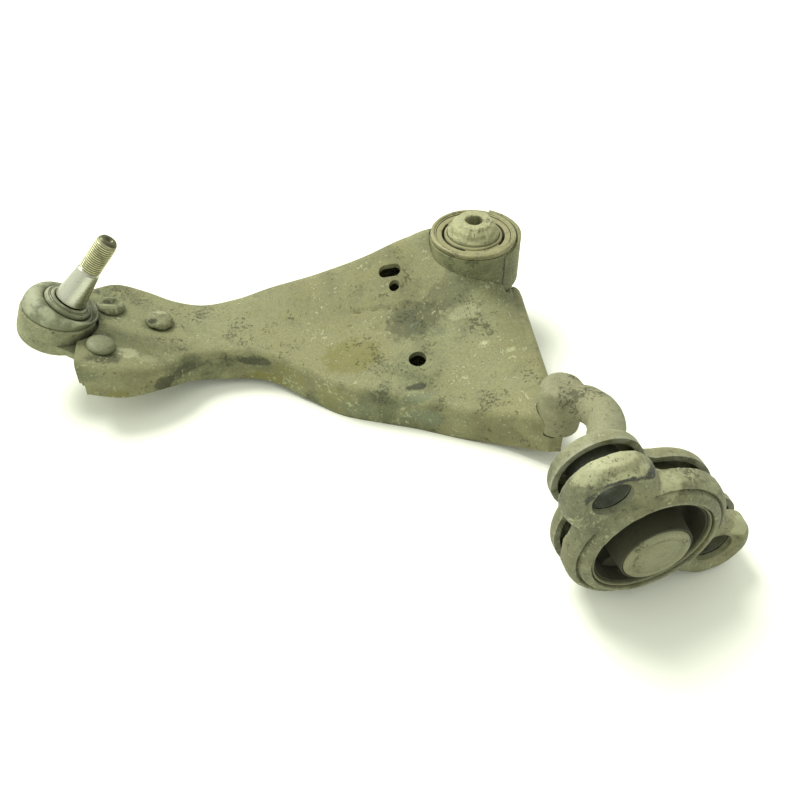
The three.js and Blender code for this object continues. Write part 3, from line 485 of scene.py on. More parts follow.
def ground_steel(name, base, stain_and_shade, stain_share, roughness, line_mm, axis_place, root_mm=None):
    """Turned or ground steel: fine lines round the axis, a metal's gloss, brown-grey stains."""
    material = bpy.data.materials.new(name)
    material.use_nodes = True
    tree = material.node_tree
    tree.nodes.clear()
    place = add(tree, "ShaderNodeTexCoord").outputs["Object"]
    to_axis = (Matrix.Diagonal((1000, 1000, 1000, 1)) @ Matrix.Translation(-design(0, 0, 0)))
    local = axis_place.inverted() @ to_axis
    turn = local.to_euler()
    height = add(tree, "ShaderNodeVectorMath", {0: place, 1: Vector(local[2][:3])},
                 operation="DOT_PRODUCT").outputs["Value"]
    lines = add(tree, "ShaderNodeTexNoise", {"W": height, "Scale": 1 / line_mm, "Detail": 2.0}, noise_dimensions="1D")
    cloud = add(tree, "ShaderNodeTexNoise", {"Vector": place, "Scale": 1000 / 7, "Detail": 6.0, "Roughness": 0.65})
    shown = add(tree, "ShaderNodeMapRange", {0: cloud.outputs[0], 1: 0.72 - 0.4 * stain_share,
                                             2: 0.84 - 0.4 * stain_share,
                                             3: 0.0, 4: 0.9}).outputs[0]
    tone = add(tree, "ShaderNodeMapRange", {0: lines.outputs[0], 1: 0.3, 2: 0.7, 3: 0.9, 4: 1.08}).outputs[0]
    lined = add(tree, "ShaderNodeVectorMath", {0: linear(base)[:3], "Scale": tone}, operation="SCALE").outputs[0]
    colour = blend_colour(tree, shown, lined, linear(stain_and_shade))
    if root_mm:
        # The thread's roots are painted dark as painted shade, so each turn shows as a bright crest over a dark line.
        axis = Vector(local[2][:3]).normalized()
        origin = design(*(axis_place @ Vector((0, 0, 0))))
        arm = add(tree, "ShaderNodeVectorMath", {0: place, 1: origin}, operation="SUBTRACT").outputs[0]
        cross = add(tree, "ShaderNodeVectorMath", {0: arm, 1: axis}, operation="CROSS_PRODUCT").outputs[0]
        radius = add(tree, "ShaderNodeVectorMath", {0: cross}, operation="LENGTH").outputs["Value"]
        painted_root_shade = add(tree, "ShaderNodeMapRange", {0: radius, 1: root_mm[0] / 1000, 2: root_mm[1] / 1000, 3: 0.9,
                                                4: 0.0}).outputs[0]
        colour = blend_colour(tree, painted_root_shade, colour, linear("#3f3f29"))
    # Painted shade: hollows found by ambient occlusion are darkened towards the stain colour.
    closed = add(tree, "ShaderNodeAmbientOcclusion", {"Distance": 0.0015}, samples=6)
    inside = add(tree, "ShaderNodeMapRange", {0: closed.outputs["AO"], 1: 0.35, 2: 0.8, 3: 0.9, 4: 0.0}).outputs[0]
    colour = blend_colour(tree, inside, colour, linear(stain_and_shade))
    rough = add(tree, "ShaderNodeMapRange", {0: cloud.outputs[0], 1: 0.3, 2: 0.7, 3: roughness - 0.06,
                                             4: roughness + 0.22}).outputs[0]
    metal = add(tree, "ShaderNodeMapRange", {0: shown, 1: 0.0, 2: 1.0, 3: 1.0, 4: 0.2}).outputs[0]
    heights = add(tree, "ShaderNodeMath", {0: lines.outputs[0], 1: 0.5, 2: cloud.outputs[0]}, operation="MULTIPLY_ADD")
    relief = add(tree, "ShaderNodeBump", {"Strength": 0.35, "Distance": 0.00015, "Height": heights.outputs[0]})
    shader = add(tree, "ShaderNodeBsdfPrincipled", {
        "Base Color": colour, "Roughness": rough, "Metallic": metal, "Normal": relief.outputs[0]})
    add(tree, "ShaderNodeOutputMaterial", {0: shader.outputs[0]})
    return material


MATERIALS = {}


def materials():
    """Every finish, made once."""
    if MATERIALS:
        return MATERIALS
    c = bpy.context.scene.control_arm_colours
    # Electro-dipped epoxy coat on drawn steel, chalked by weather: matt, mottled, freckled with dry mud.
    MATERIALS["arm"] = weathered("chalked_epoxy_coat_on_drawn_steel", c.paint, c.dust, c, patches=PAINT_PATCHES,
                                 fleck=0.62, pits=0.45, cover_share=0.5)
    # The same coat where it is rubbed by hands and stones: the flange and eye of the front bush.
    MATERIALS["eye"] = weathered("chalked_epoxy_coat_on_rolled_eye", c.paint, c.dust, c, hollow=0.3, fleck=0.5,
                                 pits=0.5,
                                 cover_share=0.6)
    # Zinc-plated sleeve gone dull and yellowed: duller than bare metal, with dust in its corners.
    MATERIALS["sleeve"] = weathered("dulled_zinc_plate_on_turned_sleeve", "#73714f", "#93906b", c, fleck=0.45,
                                    pits=0.5, roughness=0.55, metallic=0.25, cover_share=0.55, edge=c.mud)
    # Shot-blasted forging: pale and grainy like coarse paper, grit of about 0.8 mm.
    MATERIALS["forged"] = weathered("shot_blasted_forged_steel", "#73745a", c.forging, c, grain_mm=0.9, fleck_mm=1.8,
                                    fleck=0.45, pits=0.35, roughness=0.62, metallic=0.25, bump_mm=0.4, cover_share=0.7)
    MATERIALS["spigot"] = weathered("dusty_forged_steel_spigot", "#6b6d53", "#8c8d72", c, grain_mm=1.2, fleck=0.5,
                                    pits=0.4, roughness=0.7, metallic=0.15, cover_share=0.7)
    # Die-cast-like grain of the dirty bush hub: grit caught between hub and rubber.
    MATERIALS["hub"] = weathered("gritty_turned_steel_hub", "#7f805b", "#a3a37d", c, grain_mm=1.0, fleck=0.75,
                                 pits=0.6, roughness=0.75, metallic=0.1, cover_share=0.75)
    # Dipped coat on the pressed bracket, chipped to blue-grey steel at its edges.
    MATERIALS["bracket"] = weathered("chipped_dip_coat_on_pressed_bracket", c.bracket, "#878868", c, fleck=0.6,
                                     pits=0.5, cover_share=0.45, roughness=0.62, edge="#8f917a",
                                     patches=BRACKET_PATCHES)
    MATERIALS["can"] = weathered("dusty_pressed_bush_can", "#74765a", "#8f9072", c, fleck=0.4, pits=0.3,
                                 roughness=0.6, metallic=0.2)
    MATERIALS["spacer"] = weathered("blued_steel_spacer_tube", "#4f5650", "#6f7468", c, fleck=0.25, pits=0.3,
                                    roughness=0.5, metallic=0.4, cover_share=0.35)
    # Cast and coated housing, paler than the arm because dust has dried on it in blotches.
    MATERIALS["housing"] = weathered("dusty_coated_steel_housing", "#6b6e4e", "#8e906e", c, fleck=0.5, pits=0.55,
                                     cover_share=0.6)
    MATERIALS["rivet"] = weathered("mud_caked_steel_rivet", "#5f6245", "#7f8160", c, grain_mm=1.1, fleck=0.6,
                                   pits=0.55, bump_mm=0.5, cover_share=0.55, patches=RIVET_PATCHES)
    MATERIALS["rivet_clean"] = weathered("rubbed_steel_rivet", "#666949", "#7d8062", c, fleck=0.15, pits=0.2,
                                         bump_mm=0.2, roughness=0.55)
    # Natural rubber of the bushes: nearly black, with painted shade darkening its voids further, greyed where dust can
    # reach.
    MATERIALS["bush_rubber"] = rubber("moulded_natural_rubber_bush", c.bush_rubber, "#6b6b4c", 0.30, 0.85, "#15150d")
    MATERIALS["dusty_rubber"] = rubber("dust_caked_natural_rubber", "#6b6a49", "#918e69", 0.8, 0.9, "#3a3926")
    # Chloroprene boot: softly glossy under a thin even dust.
    MATERIALS["boot_rubber"] = rubber("moulded_chloroprene_boot", c.boot_rubber, "#95987a", 0.62, 0.55, "#23241a")
    MATERIALS["seat"] = rubber("moulded_acetal_seat", "#d8d5c4", "#bdb99f", 0.3, 0.45, "#8a866a")
    MATERIALS["taper"] = ground_steel("ground_alloy_steel_taper", c.turned, "#84856c", 0.30, 0.20, 0.30, STUD_PLACE)
    MATERIALS["thread"] = ground_steel("rolled_alloy_steel_thread", "#dedcb8", "#8f8e68", 0.40, 0.36, 0.5,
                                       STUD_PLACE, (6.1, 6.7))
    MATERIALS["wire"] = ground_steel("drawn_spring_steel_wire", "#a9aa94", "#6b6c52", 0.5, 0.4, 0.4, STUD_PLACE)
    return MATERIALS


# ---------------------------------------------------------------- pressed arm shells

# From the ball-joint end to the inboard edge: the upper shell's back and front corners, and the
# level of the underside at each.
SECTIONS = [
    ((-270, 331, 49), (-283, 243, 54), (31, 28)), ((-251, 341, 43), (-257, 238, 45), (25, 22)),
    ((-232, 336, 36), (-229, 243, 36), (20, 19)), ((-213, 323, 32), (-211, 254, 32), (13, 11)),
    ((-194, 314, 31), (-190, 255, 30), (9, 6)), ((-169, 309, 35), (-163, 246, 30), (9, 5)),
    ((-146, 307, 41), (-139, 222, 29), (12, 2)), ((-112, 301, 50), (-119, 201, 28), (15, 0)),
    ((-78, 296, 61), (-97, 187, 28), (18, 0)), ((-46, 295, 72), (-75, 174, 27), (22, 0)),
    ((-22, 294, 76), (-52, 158, 26), (24, 0)), ((6, 276, 62), (-28, 141, 30), (24, 3)),
    ((25, 262, 37), (-5, 118, 41), (22, 12)),
]


def through(points, us):
    """Points along a centripetal curve through the given ones."""
    p = np.asarray(points, float)
    p = np.vstack([2 * p[0] - p[1], p, 2 * p[-1] - p[-2]])
    spans = len(p) - 3
    result = []
    for u in np.atleast_1d(us):
        i = min(int(u * spans), spans - 1)
        w = u * spans - i
        p0, p1, p2, p3 = p[i:i + 4]
        d0, d1, d2 = (max(((b - a) @ (b - a)) ** 0.25, 1e-4) for a, b in ((p0, p1), (p1, p2), (p2, p3)))
        t1 = ((p1 - p0) / d0 - (p2 - p0) / (d0 + d1) + (p2 - p1) / d1) * d1
        t2 = ((p2 - p1) / d1 - (p3 - p1) / (d1 + d2) + (p3 - p2) / d2) * d1
        result.append(p1 + t1 * w + (3 * (p2 - p1) - 2 * t1 - t2) * w ** 2 + (2 * (p1 - p2) + t1 + t2) * w ** 3)
    return np.array(result)


def along_line(x, y, start, end):
    """Distance from a line and share of the way along it, for points of the arm's plan."""
    s, e = np.array(start, float), np.array(end, float)
    d = e - s
    t = ((x - s[0]) * d[0] + (y - s[1]) * d[1]) / (d @ d)
    px, py = s[0] + t * d[0], s[1] + t * d[1]
    side = ((x - s[0]) * d[1] - (y - s[1]) * d[0]) / np.linalg.norm(d)
    return side, t, np.hypot(x - px, y - py)


def pressed_relief(x, y):
    """Height of the pressed detail and old dents on the arm's upper face, by plan position."""
    height = np.zeros_like(x)
    side, t, _ = along_line(x, y, (-97, 257), (-56, 243))
    fade = smooth(t, -0.15, 0.1) * (1 - smooth(t, 0.85, 1.2))
    height -= 1.5 * fade * np.exp(-(side / 1.1) ** 2)
    height -= 0.7 * fade * smooth(side, 0, 3) * (1 - smooth(side, 6, 22))
    side, t, _ = along_line(x, y, (-91, 209), (-53, 180))
    bow = side + 1.0 * np.sin(np.pi * np.clip(t, 0, 1))
    fade = smooth(t, -0.05, 0.25) * (1 - smooth(t, 0.8, 1.1))
    height += 3.0 * fade * np.exp(-(bow / 3.6) ** 2)
    height -= 2.4 * fade * np.exp(-((bow - 7.0) / 3.4) ** 2)
    height -= 2.6 * np.exp(-(((x + 66) / 9) ** 2 + ((y - 180) / 3.4) ** 2))
    height -= 2.6 * np.exp(-(((x + 58) / 26) ** 2 + ((y - 228) / 17) ** 2))
    height -= 1.2 * np.exp(-(((x + 20) / 12) ** 2 + ((y - 222) / 9) ** 2))
    height += 1.0 * np.exp(-(((x + 14) / 12) ** 2 + ((y - 193) / 6) ** 2))
    height -= 1.0 * np.exp(-(((x + 262) / 12) ** 2 + ((y - 249) / 6) ** 2))
    # The sheet turns up where it meets the front bush's eye.
    from_eye = np.hypot(x - DRAWN_BUSH_X, y - DRAWN_BUSH_Y) - 31.3
    height += 5.5 * np.exp(-np.clip(from_eye, 0, None) / 3.6) * smooth(-(y - DRAWN_BUSH_Y), 4, 26)
    return height


def sections_at(us):
    back = through([s[0] for s in SECTIONS], us)
    front = through([s[1] for s in SECTIONS], us)
    under = through([(20 * i, *s[2]) for i, s in enumerate(SECTIONS)], us)
    across = front[:, :2] - back[:, :2]
    across /= np.linalg.norm(across, axis=1)[:, None]
    return back, front, np.c_[across, np.zeros(len(across))], under[:, 1], under[:, 2]


CROWN_STEPS, CORNER_STEPS, WALL_STEPS = 58, 9, 8


def roof_rows(us, inset):
    """Rows of the upper shell: up the back wall, over the top and down the front wall."""
    back, front, across, under_back, under_front = sections_at(us)
    radius = EDGE_RADIUS - inset
    start, end = back + across * inset, front - across * inset
    columns = []

    def at(base, shift, z):
        columns.append(np.c_[(base + across * np.asarray(shift).reshape(-1, 1))[:, :2], z])

    flare = 0.9 if inset == 0 else 0.0
    for s in np.linspace(0, 1, WALL_STEPS, endpoint=False):
        lip = flare * (1 - smooth(s * (back[:, 2] - under_back), 3.0, 4.6))
        at(start, -lip, under_back + s * (back[:, 2] - inset - radius - under_back))
    for a in np.linspace(0, math.pi / 2, CORNER_STEPS):
        out, up = max(math.cos(a), 0) ** CORNER_POWER, math.sin(a) ** CORNER_POWER
        at(start, np.full(len(us), radius * (1 - out)), back[:, 2] - inset - radius * (1 - up))
    flat = np.linalg.norm((end - start)[:, :2], axis=1)
    slant = flat / np.linalg.norm(end - start, axis=1)
    for v in np.linspace(0, 1, CROWN_STEPS)[1:-1]:
        share = max(float(smooth(v, 0.75, 1.0)), 1 - float(smooth(v, 0.0, 0.1)))
        reach = (radius + v * (flat - 2 * radius)) * (slant + (1 - slant) * share)
        sag = 5 * np.exp(-((us - 0.62) / 0.22) ** 2) * math.sin(math.pi * v) ** 2
        at(start, reach, back[:, 2] + (front[:, 2] - back[:, 2]) * v - inset - sag)
        column = columns[-1]
        column[:, 2] += pressed_relief(column[:, 0], column[:, 1]) * math.sin(math.pi * v) ** 0.5
    for a in np.linspace(math.pi / 2, 0, CORNER_STEPS):
        out, up = max(math.cos(a), 0) ** CORNER_POWER, math.sin(a) ** CORNER_POWER
        at(end, np.full(len(us), -radius * (1 - out)), front[:, 2] - inset - radius * (1 - up))
    for s in np.linspace(1, 0, WALL_STEPS + 1)[1:]:
        lip = flare * (1 - smooth(s * (front[:, 2] - under_front), 3.0, 4.6))
        at(end, lip, under_front + s * (front[:, 2] - inset - radius - under_front))
    return np.stack(columns, axis=1)


def tray_rows(us, inset):
    """Rows of the lower shell: down its back wall, across the bottom and up its front wall."""
    back, front, across, under_back, under_front = sections_at(us)
    offset = SHEET + SHELL_GAP + inset
    radius = EDGE_RADIUS - SHEET - inset * 0.5
    start, end = back + across * offset, front - across * offset
    columns = []

    def at(base, shift, z):
        columns.append(np.c_[(base + across * shift)[:, :2], z])

    at(start, 0, under_back + TRAY_WALL)
    for a in np.linspace(0, math.pi / 2, 7):
        at(start, radius * (1 - math.cos(a)), under_back + inset + radius * (1 - math.sin(a)))
    for v in np.linspace(0.06, 0.94, 30):
        point = start + (end - start) * v
        rib = 1.6 * math.sin(math.pi * v) ** 2 * np.sin(us * math.pi) ** 2
        columns.append(np.c_[point[:, :2], under_back + (under_front - under_back) * v + inset + rib])
    for a in np.linspace(math.pi / 2, 0, 7):
        at(end, -radius * (1 - math.cos(a)), under_front + inset + radius * (1 - math.sin(a)))
    at(end, 0, under_front + TRAY_WALL)
    return np.stack(columns, axis=1)


def with_end(rows, inset, direction, wall):
    """Adds the rows that turn the sheet over the inboard edge."""
    back, front, _, under_back, under_front = sections_at(np.array([1.0]))
    span = (front - back)[0, :2]
    outward = np.array([-span[1], span[0], 0]) / np.linalg.norm(span)
    last = rows[-1]
    t = np.clip(((last[:, :2] - back[0, :2]) @ span) / (span @ span), 0, 1)
    limit = under_back[0] + (under_front[0] - under_back[0]) * t + wall
    radius = max(EDGE_RADIUS - inset, 1)
    extra = []
    for a in np.linspace(0, math.pi / 2, 9)[1:]:
        row = last + outward * radius * math.sin(a)
        drop = radius * (1 - math.cos(a))
        row[:, 2] = np.maximum(last[:, 2] - drop, limit) if direction < 0 else np.minimum(last[:, 2] + drop, limit)
        extra.append(row)
    fall = extra[-1]
    for s in (0.34, 0.67, 1.0):
        row = fall.copy()
        row[:, 2] = fall[:, 2] + (limit - fall[:, 2]) * s
        extra.append(row)
    return np.concatenate([rows, np.stack(extra)])


def sheet_between(name, outer, inner):
    """Closes an outer and an inner grid into one sheet of steel."""
    rows, columns = outer.shape[:2]
    shift = rows * columns
    faces = ring_faces(rows, columns, loop_columns=False)
    faces += [tuple(shift + i for i in reversed(f)) for f in faces]
    rim = [j for j in range(columns)]
    rim += [i * columns + columns - 1 for i in range(1, rows)]
    rim += [(rows - 1) * columns + j for j in range(columns - 2, -1, -1)]
    rim += [i * columns for i in range(rows - 2, 0, -1)]
    for a, b in zip(rim, rim[1:] + rim[:1]):
        faces.append((a, b, shift + b, shift + a))
    return body_mesh(name, np.concatenate([outer.reshape(-1, 3), inner.reshape(-1, 3)]), faces, sharp=50)


def prism(name, outline, bottom, top, place=Matrix.Identity(4)):
    count = len(outline)
    points = [(x, y, bottom) for x, y in outline] + [(x, y, top) for x, y in outline]
    faces = [tuple(range(count)), tuple(range(count, 2 * count))]
    faces += [(i, (i + 1) % count, count + (i + 1) % count, count + i) for i in range(count)]
    return body_mesh(name, points, faces, place)


def arc(x, y, radius, start, end, steps):
    angles = np.linspace(start, end, steps + 1)
    return [(x + radius * math.cos(a), y + radius * math.sin(a)) for a in angles]


def round_cutter(name, x, y, radius, bottom=-10, top=130):
    return prism(name, arc(x, y, radius, 0, 2 * math.pi, 64)[:-1], bottom, top)


def slot_cutter(name, x, y, half, radius, turn):
    points = arc(half, 0, radius, -math.pi / 2, math.pi / 2, 24) + arc(-half, 0, radius, math.pi / 2, 1.5 * math.pi, 24)
    c, s = math.cos(turn), math.sin(turn)
    return prism(name, [(x + px * c - py * s, y + px * s + py * c) for px, py in points], 25, 110)


# ---------------------------------------------------------------- rear spigot

BOSS_X, BOSS_Y, BOSS_RADIUS, BOSS_BOTTOM, BOSS_TOP = 4, 128.5, 14, 24, 59
CORE_LENGTH = 60.0


def spigot_route(count):
    on_pivot = [tuple(REAR_PLACE @ Vector((0, 0, -d))) for d in (CORE_LENGTH + 3, CORE_LENGTH - 6, 40, 10)]
    corners = [(BOSS_X + 1, BOSS_Y - 3, 46.5), (16, 114, 50), (17.5, 98, 53), (9, 80, 55)] + on_pivot
    return through(corners, np.linspace(0, 1, count))


def pin_points(radius, count=70, around=48):
    """Rows of points round the spigot's cranked pin."""
    route = spigot_route(count)
    radii = np.broadcast_to(np.asarray(radius, float), (count,))
    tangents = np.gradient(route, axis=0)
    tangents /= np.linalg.norm(tangents, axis=1)[:, None]
    side = np.cross(tangents[0], (0, 0, 1.0))
    rows = []
    for centre, tangent, r in zip(route, tangents, radii):
        side = side - tangent * (side @ tangent)
        side /= np.linalg.norm(side)
        other = np.cross(tangent, side)
        angles = np.linspace(0, 2 * math.pi, around, endpoint=False)
        rows.append(centre + r * (np.outer(np.cos(angles), side) + np.outer(np.sin(angles), other)))
    return np.array(rows)


def pin_body(name, radius, count=70, around=48):
    rows = pin_points(radius, count, around)
    faces = ring_faces(len(rows), around)
    faces += [tuple(range(around)), tuple((len(rows) - 1) * around + i for i in range(around))]
    return body_mesh(name, rows.reshape(-1, 3), faces)


def boss_body(name, clearance):
    r = BOSS_RADIUS + clearance
    corners = [(0, BOSS_BOTTOM - clearance), (r, BOSS_BOTTOM - clearance), (r, BOSS_TOP - 5), (r - 1.6, BOSS_TOP - 1.6),
               (r - 5, BOSS_TOP), (0, BOSS_TOP)]
    return turned(name, corners, 1.2, place_at(BOSS_X, BOSS_Y, 0), 64)


# ---------------------------------------------------------------- rear bracket outline

BODY = (0.0, 0.0, 46.0)
EAR_A = (-29.5, 45.0, 25.0)
EAR_B = (47.0, -27.0, 23.0)
WAIST_RADIUS = 14.0
FRONT_FACE, FRONT_BACK = -9.0, -21.0
REAR_FRONT, REAR_BACK = -28.5, -38.0
EAR_HOLE = 11.0
COLLAR_INNER, COLLAR_OUTER, COLLAR_FRONT = 34.9, 37.7, -5.0
# Radii of the crests pressed round the bore and the ears, and the depths between and inside them.
BORE_CREST, EAR_CREST = 43.8, 20.2
VALLEY_DEPTH, MOUTH_DEPTH = 5.4, 2.4


def waist(first, second, side):
    dx, dy = second[0] - first[0], second[1] - first[1]
    distance = math.hypot(dx, dy)
    a, b = first[2] + WAIST_RADIUS, second[2] + WAIST_RADIUS
    along = (a * a - b * b + distance * distance) / (2 * distance)
    height = math.sqrt(a * a - along * along) * side
    return (first[0] + (dx * along - dy * height) / distance, first[1] + (dy * along + dx * height) / distance)


def heading(start, end):
    return math.atan2(end[1] - start[1], end[0] - start[0])


def bracket_outline(inset):
    points = []

    def run(centre, radius, start, end, steps, turn):
        while turn * (end - start) < 0:
            end += turn * 2 * math.pi
        points.extend(arc(centre[0], centre[1], radius, start, end, steps)[:-1])

    for ear, other in ((EAR_A, EAR_B), (EAR_B, EAR_A)):
        before, after, following = waist(BODY, ear, -1), waist(BODY, ear, 1), waist(BODY, other, -1)
        run(before, WAIST_RADIUS + inset, heading(before, BODY), heading(before, ear), 14, -1)
        run(ear, ear[2] - inset, heading(ear, before), heading(ear, after), 36, 1)
        run(after, WAIST_RADIUS + inset, heading(after, ear), heading(after, BODY), 14, -1)
        run(BODY, BODY[2] - inset, heading(BODY, after), heading(BODY, following), 48, 1)
    return np.array(points)


def bracket_tray(name, face, wall, edge):
    """A pressed tray with the bracket's outline, whose rounded edge turns into a wall."""
    towards = math.copysign(1, wall - face)
    rings = [(0.0, wall), (0.0, (wall + face + towards * edge) / 2)]
    rings += [(edge * (1 - math.cos(a)), face + towards * edge * (1 - math.sin(a))) for a in np.linspace(0,
                                                                                                         math.pi / 2, 9)]
    inner_edge = edge - SHEET + 1
    inner = [(SHEET, wall)]
    inner += [(SHEET + inner_edge * (1 - math.cos(a)), face + towards * (SHEET + inner_edge * (1 - math.sin(a))))
              for a in np.linspace(0, math.pi / 2, 7)]
    order = list(reversed(inner)) + rings
    rows = [np.c_[bracket_outline(i), np.full(len(bracket_outline(i)), z)] for i, z in order]
    count = len(rows[0])
    faces = ring_faces(len(rows), count)
    faces += [tuple(range(count)), tuple((len(rows) - 1) * count + i for i in range(count))]
    return body_mesh(name, np.concatenate(rows), faces, REAR_PLACE)


def sculpt_rings(item):
    """Sinks the front pressing between the rings that it forms round its bore and its two ears."""
    mesh = item.data
    points = np.array([v.co for v in mesh.vertices]) * 1000 - SHIFT
    local = moved(points, REAR_PLACE.inverted())
    x, y, z = local.T
    from_bore = np.hypot(x, y)
    rings = [-((from_bore - BORE_CREST) / 3.4) ** 2]
    from_ears = [np.hypot(x - ear[0], y - ear[1]) for ear in (EAR_A, EAR_B)]
    rings += [-((from_ear - EAR_CREST) / 5.6) ** 2 for from_ear in from_ears]
    depth = VALLEY_DEPTH * smooth(-np.max(rings, axis=0), 0.0, 1.6)
    for from_ear in from_ears:
        mouth = MOUTH_DEPTH * smooth(((from_ear - EAR_CREST) / 5.8) ** 2, 0.0, 1.6)
        depth = np.where(from_ear < EAR_CREST, mouth, depth)
    local[:, 2] -= depth * smooth(z, -20.8, -14.5) * smooth(from_bore, 39.9, 41.2)
    where = (moved(local, REAR_PLACE) + SHIFT) / 1000
    mesh.vertices.foreach_set("co", where.ravel().tolist())
    mesh.update()


def bracket_bores(tag):
    tools = [turned(f"bore_{tag}", [(0, REAR_BACK - 3), (COLLAR_INNER, REAR_BACK - 3), (COLLAR_INNER, 3), (0, 3)],
                    0, REAR_PLACE, 128)]
    for index, ear in enumerate((EAR_A, EAR_B)):
        r = EAR_HOLE + (0.3 if tag == "front" else SHEET + GAP)
        corners = [(0, REAR_BACK - 3), (r, REAR_BACK - 3), (r, 3), (0, 3)]
        tools.append(turned(f"ear_bore_{tag}_{index}", corners, 0, REAR_PLACE @ place_at(ear[0], ear[1], 0), 96))
    return tools


# ---------------------------------------------------------------- split rubber rings

def rubber_ring(name, place, inner, outer, bottom, top, void_inner, void_outer, half, middle, rides, parts, node,
                skin_tops, finish):
    """A bush's rubber: a skin on each side of two crescent voids, and webs that shear between them.

    middle is the direction of one void's middle in degrees, and rides names the body inside and outside."""
    inside, outside = rides
    shine = materials()[finish]
    inner_top, outer_top = skin_tops
    pieces = []
    lap = inner + 0.5 if inner_top > -3 and top < -10 else inner
    corners = [(inner, bottom), (void_inner, bottom, 1.4), (void_inner, top), (lap + 1.0, inner_top, 0.5),
               (lap, inner_top, 0.2),
               (lap, -6.4, 0.05), (inner, -6.4, 0.05)]
    skin = turned(f"{name}_inner_skin", corners if lap > inner else corners[:5], 0.8, place)
    finish_piece(skin, inside, "bush_rubber", shine, node)
    outer_skin = turned(f"{name}_outer_skin",
                        [(void_outer, bottom, 1.4), (outer, bottom), (outer, outer_top, 0.2),
                         (outer - 1.1, outer_top, 0.5), (void_outer, top)], 0.8, place)
    finish_piece(outer_skin, outside, "bush_rubber", shine, node)
    half_degrees = math.degrees(half)
    for index, centre in enumerate((middle + 90, middle + 270)):
        edge = 90 - half_degrees
        steps = np.linspace(centre - edge, centre + edge, parts + 1)
        for k in range(parts):
            dip = 0.25 if top > -10 else 0.9
            corners = [(void_inner - 0.2, bottom + 0.8), (void_outer + 0.2, bottom + 0.8),
                       (void_outer + 0.2, top - dip),
                       ((void_inner + void_outer) / 2, top - 2 * dip), (void_inner - 0.2, top - dip)]
            web = turned(f"{name}_web_{index}_{k}", corners, 0.6, place, 16, steps[k], steps[k + 1])
            finish_piece(web, None, "bush_rubber", shine, node)
            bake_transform(web)
            pieces.append(web)
    return pieces


# ---------------------------------------------------------------- operators

class CONTROLARM_OT_stage(bpy.types.Operator):
    """Makes the floor, the soft light and the camera"""

    bl_idname = "control_arm.stage"
    bl_label = "Stage"

    def execute(self, context):
        scene = context.scene
        colours = scene.control_arm_colours
        steps = np.linspace(-3000, 3000, 25)
        points = [(x, y, -SHIFT[2] - 0.05) for y in steps for x in steps]
        floor = body_mesh("floor", points, ring_faces(25, 25, loop_columns=False))
        material = bpy.data.materials.new("matt_white_paper_floor")
        material.use_nodes = True
        tree = material.node_tree
        tree.nodes.clear()
        place = add(tree, "ShaderNodeTexCoord").outputs["Object"]
        fibre = add(tree, "ShaderNodeTexNoise", {"Vector": place, "Scale": 1000 / 60, "Detail": 4.0})
        tone = add(tree, "ShaderNodeMapRange", {0: fibre.outputs[0], 1: 0.3, 2: 0.7, 3: 0.0, 4: 0.12}).outputs[0]
        colour = blend_colour(tree, tone, linear(colours.floor), linear("#eef1df"))
        shader = add(tree, "ShaderNodeBsdfPrincipled", {"Base Color": colour, "Roughness": 0.9})
        add(tree, "ShaderNodeOutputMaterial", {0: shader.outputs[0]})
        floor.data.materials.append(material)

        world = bpy.data.worlds.new("soft_room")
        world.use_nodes = True
        sky = world.node_tree
        ground = sky.nodes["Background"]
        ground.inputs[0].default_value = (0.97, 1.0, 0.90, 1)
        way = add(sky, "ShaderNodeTexCoord").outputs["Generated"]
        bright_side = add(sky, "ShaderNodeVectorMath", {0: way, 1: (-0.86, 0.50, 0.1)},
                          operation="DOT_PRODUCT").outputs["Value"]
        level = add(sky, "ShaderNodeMapRange", {0: bright_side, 1: -0.9, 2: 0.9, 3: 0.50, 4: 1.32}).outputs[0]
        sky.links.new(level, ground.inputs[1])
        scene.world = world

        right = Vector((0.9553, -0.2957, 0))
        look = Vector((0.2957, 0.9553, 0))
        for name, way, strength, spread in (
            ("window_light", -0.66 * right + 0.50 * look + Vector((0, 0, 1.4)), 2.4, 22),
            ("fill_light", 0.5 * right - 0.8 * look + Vector((0, 0, 0.9)), 0.15, 60),
        ):
            lamp = bpy.data.lights.new(name, "SUN")
            lamp.energy = strength
            lamp.angle = math.radians(spread)
            lamp.color = (1.0, 1.0, 0.95)
            item = bpy.data.objects.new(name, lamp)
            item.rotation_euler = way.to_track_quat("Z", "Y").to_euler()
            scene.collection.objects.link(item)

        lens = bpy.data.cameras.new("front_view")
        lens.lens = 40.5
        lens.sensor_width = 36
        lens.clip_start = 0.01
        lens.clip_end = 50
        camera = bpy.data.objects.new("front_view", lens)
        pitch = math.radians(43.4)
        toward = look * math.cos(pitch) - Vector((0, 0, math.sin(pitch)))
        camera.location = (-0.08829, -0.40092, 0.43015)
        camera.rotation_euler = toward.to_track_quat("-Z", "Y").to_euler()
        scene.collection.objects.link(camera)
        scene.camera = camera
        scene.view_settings.view_transform = "Standard"
        return {"FINISHED"}


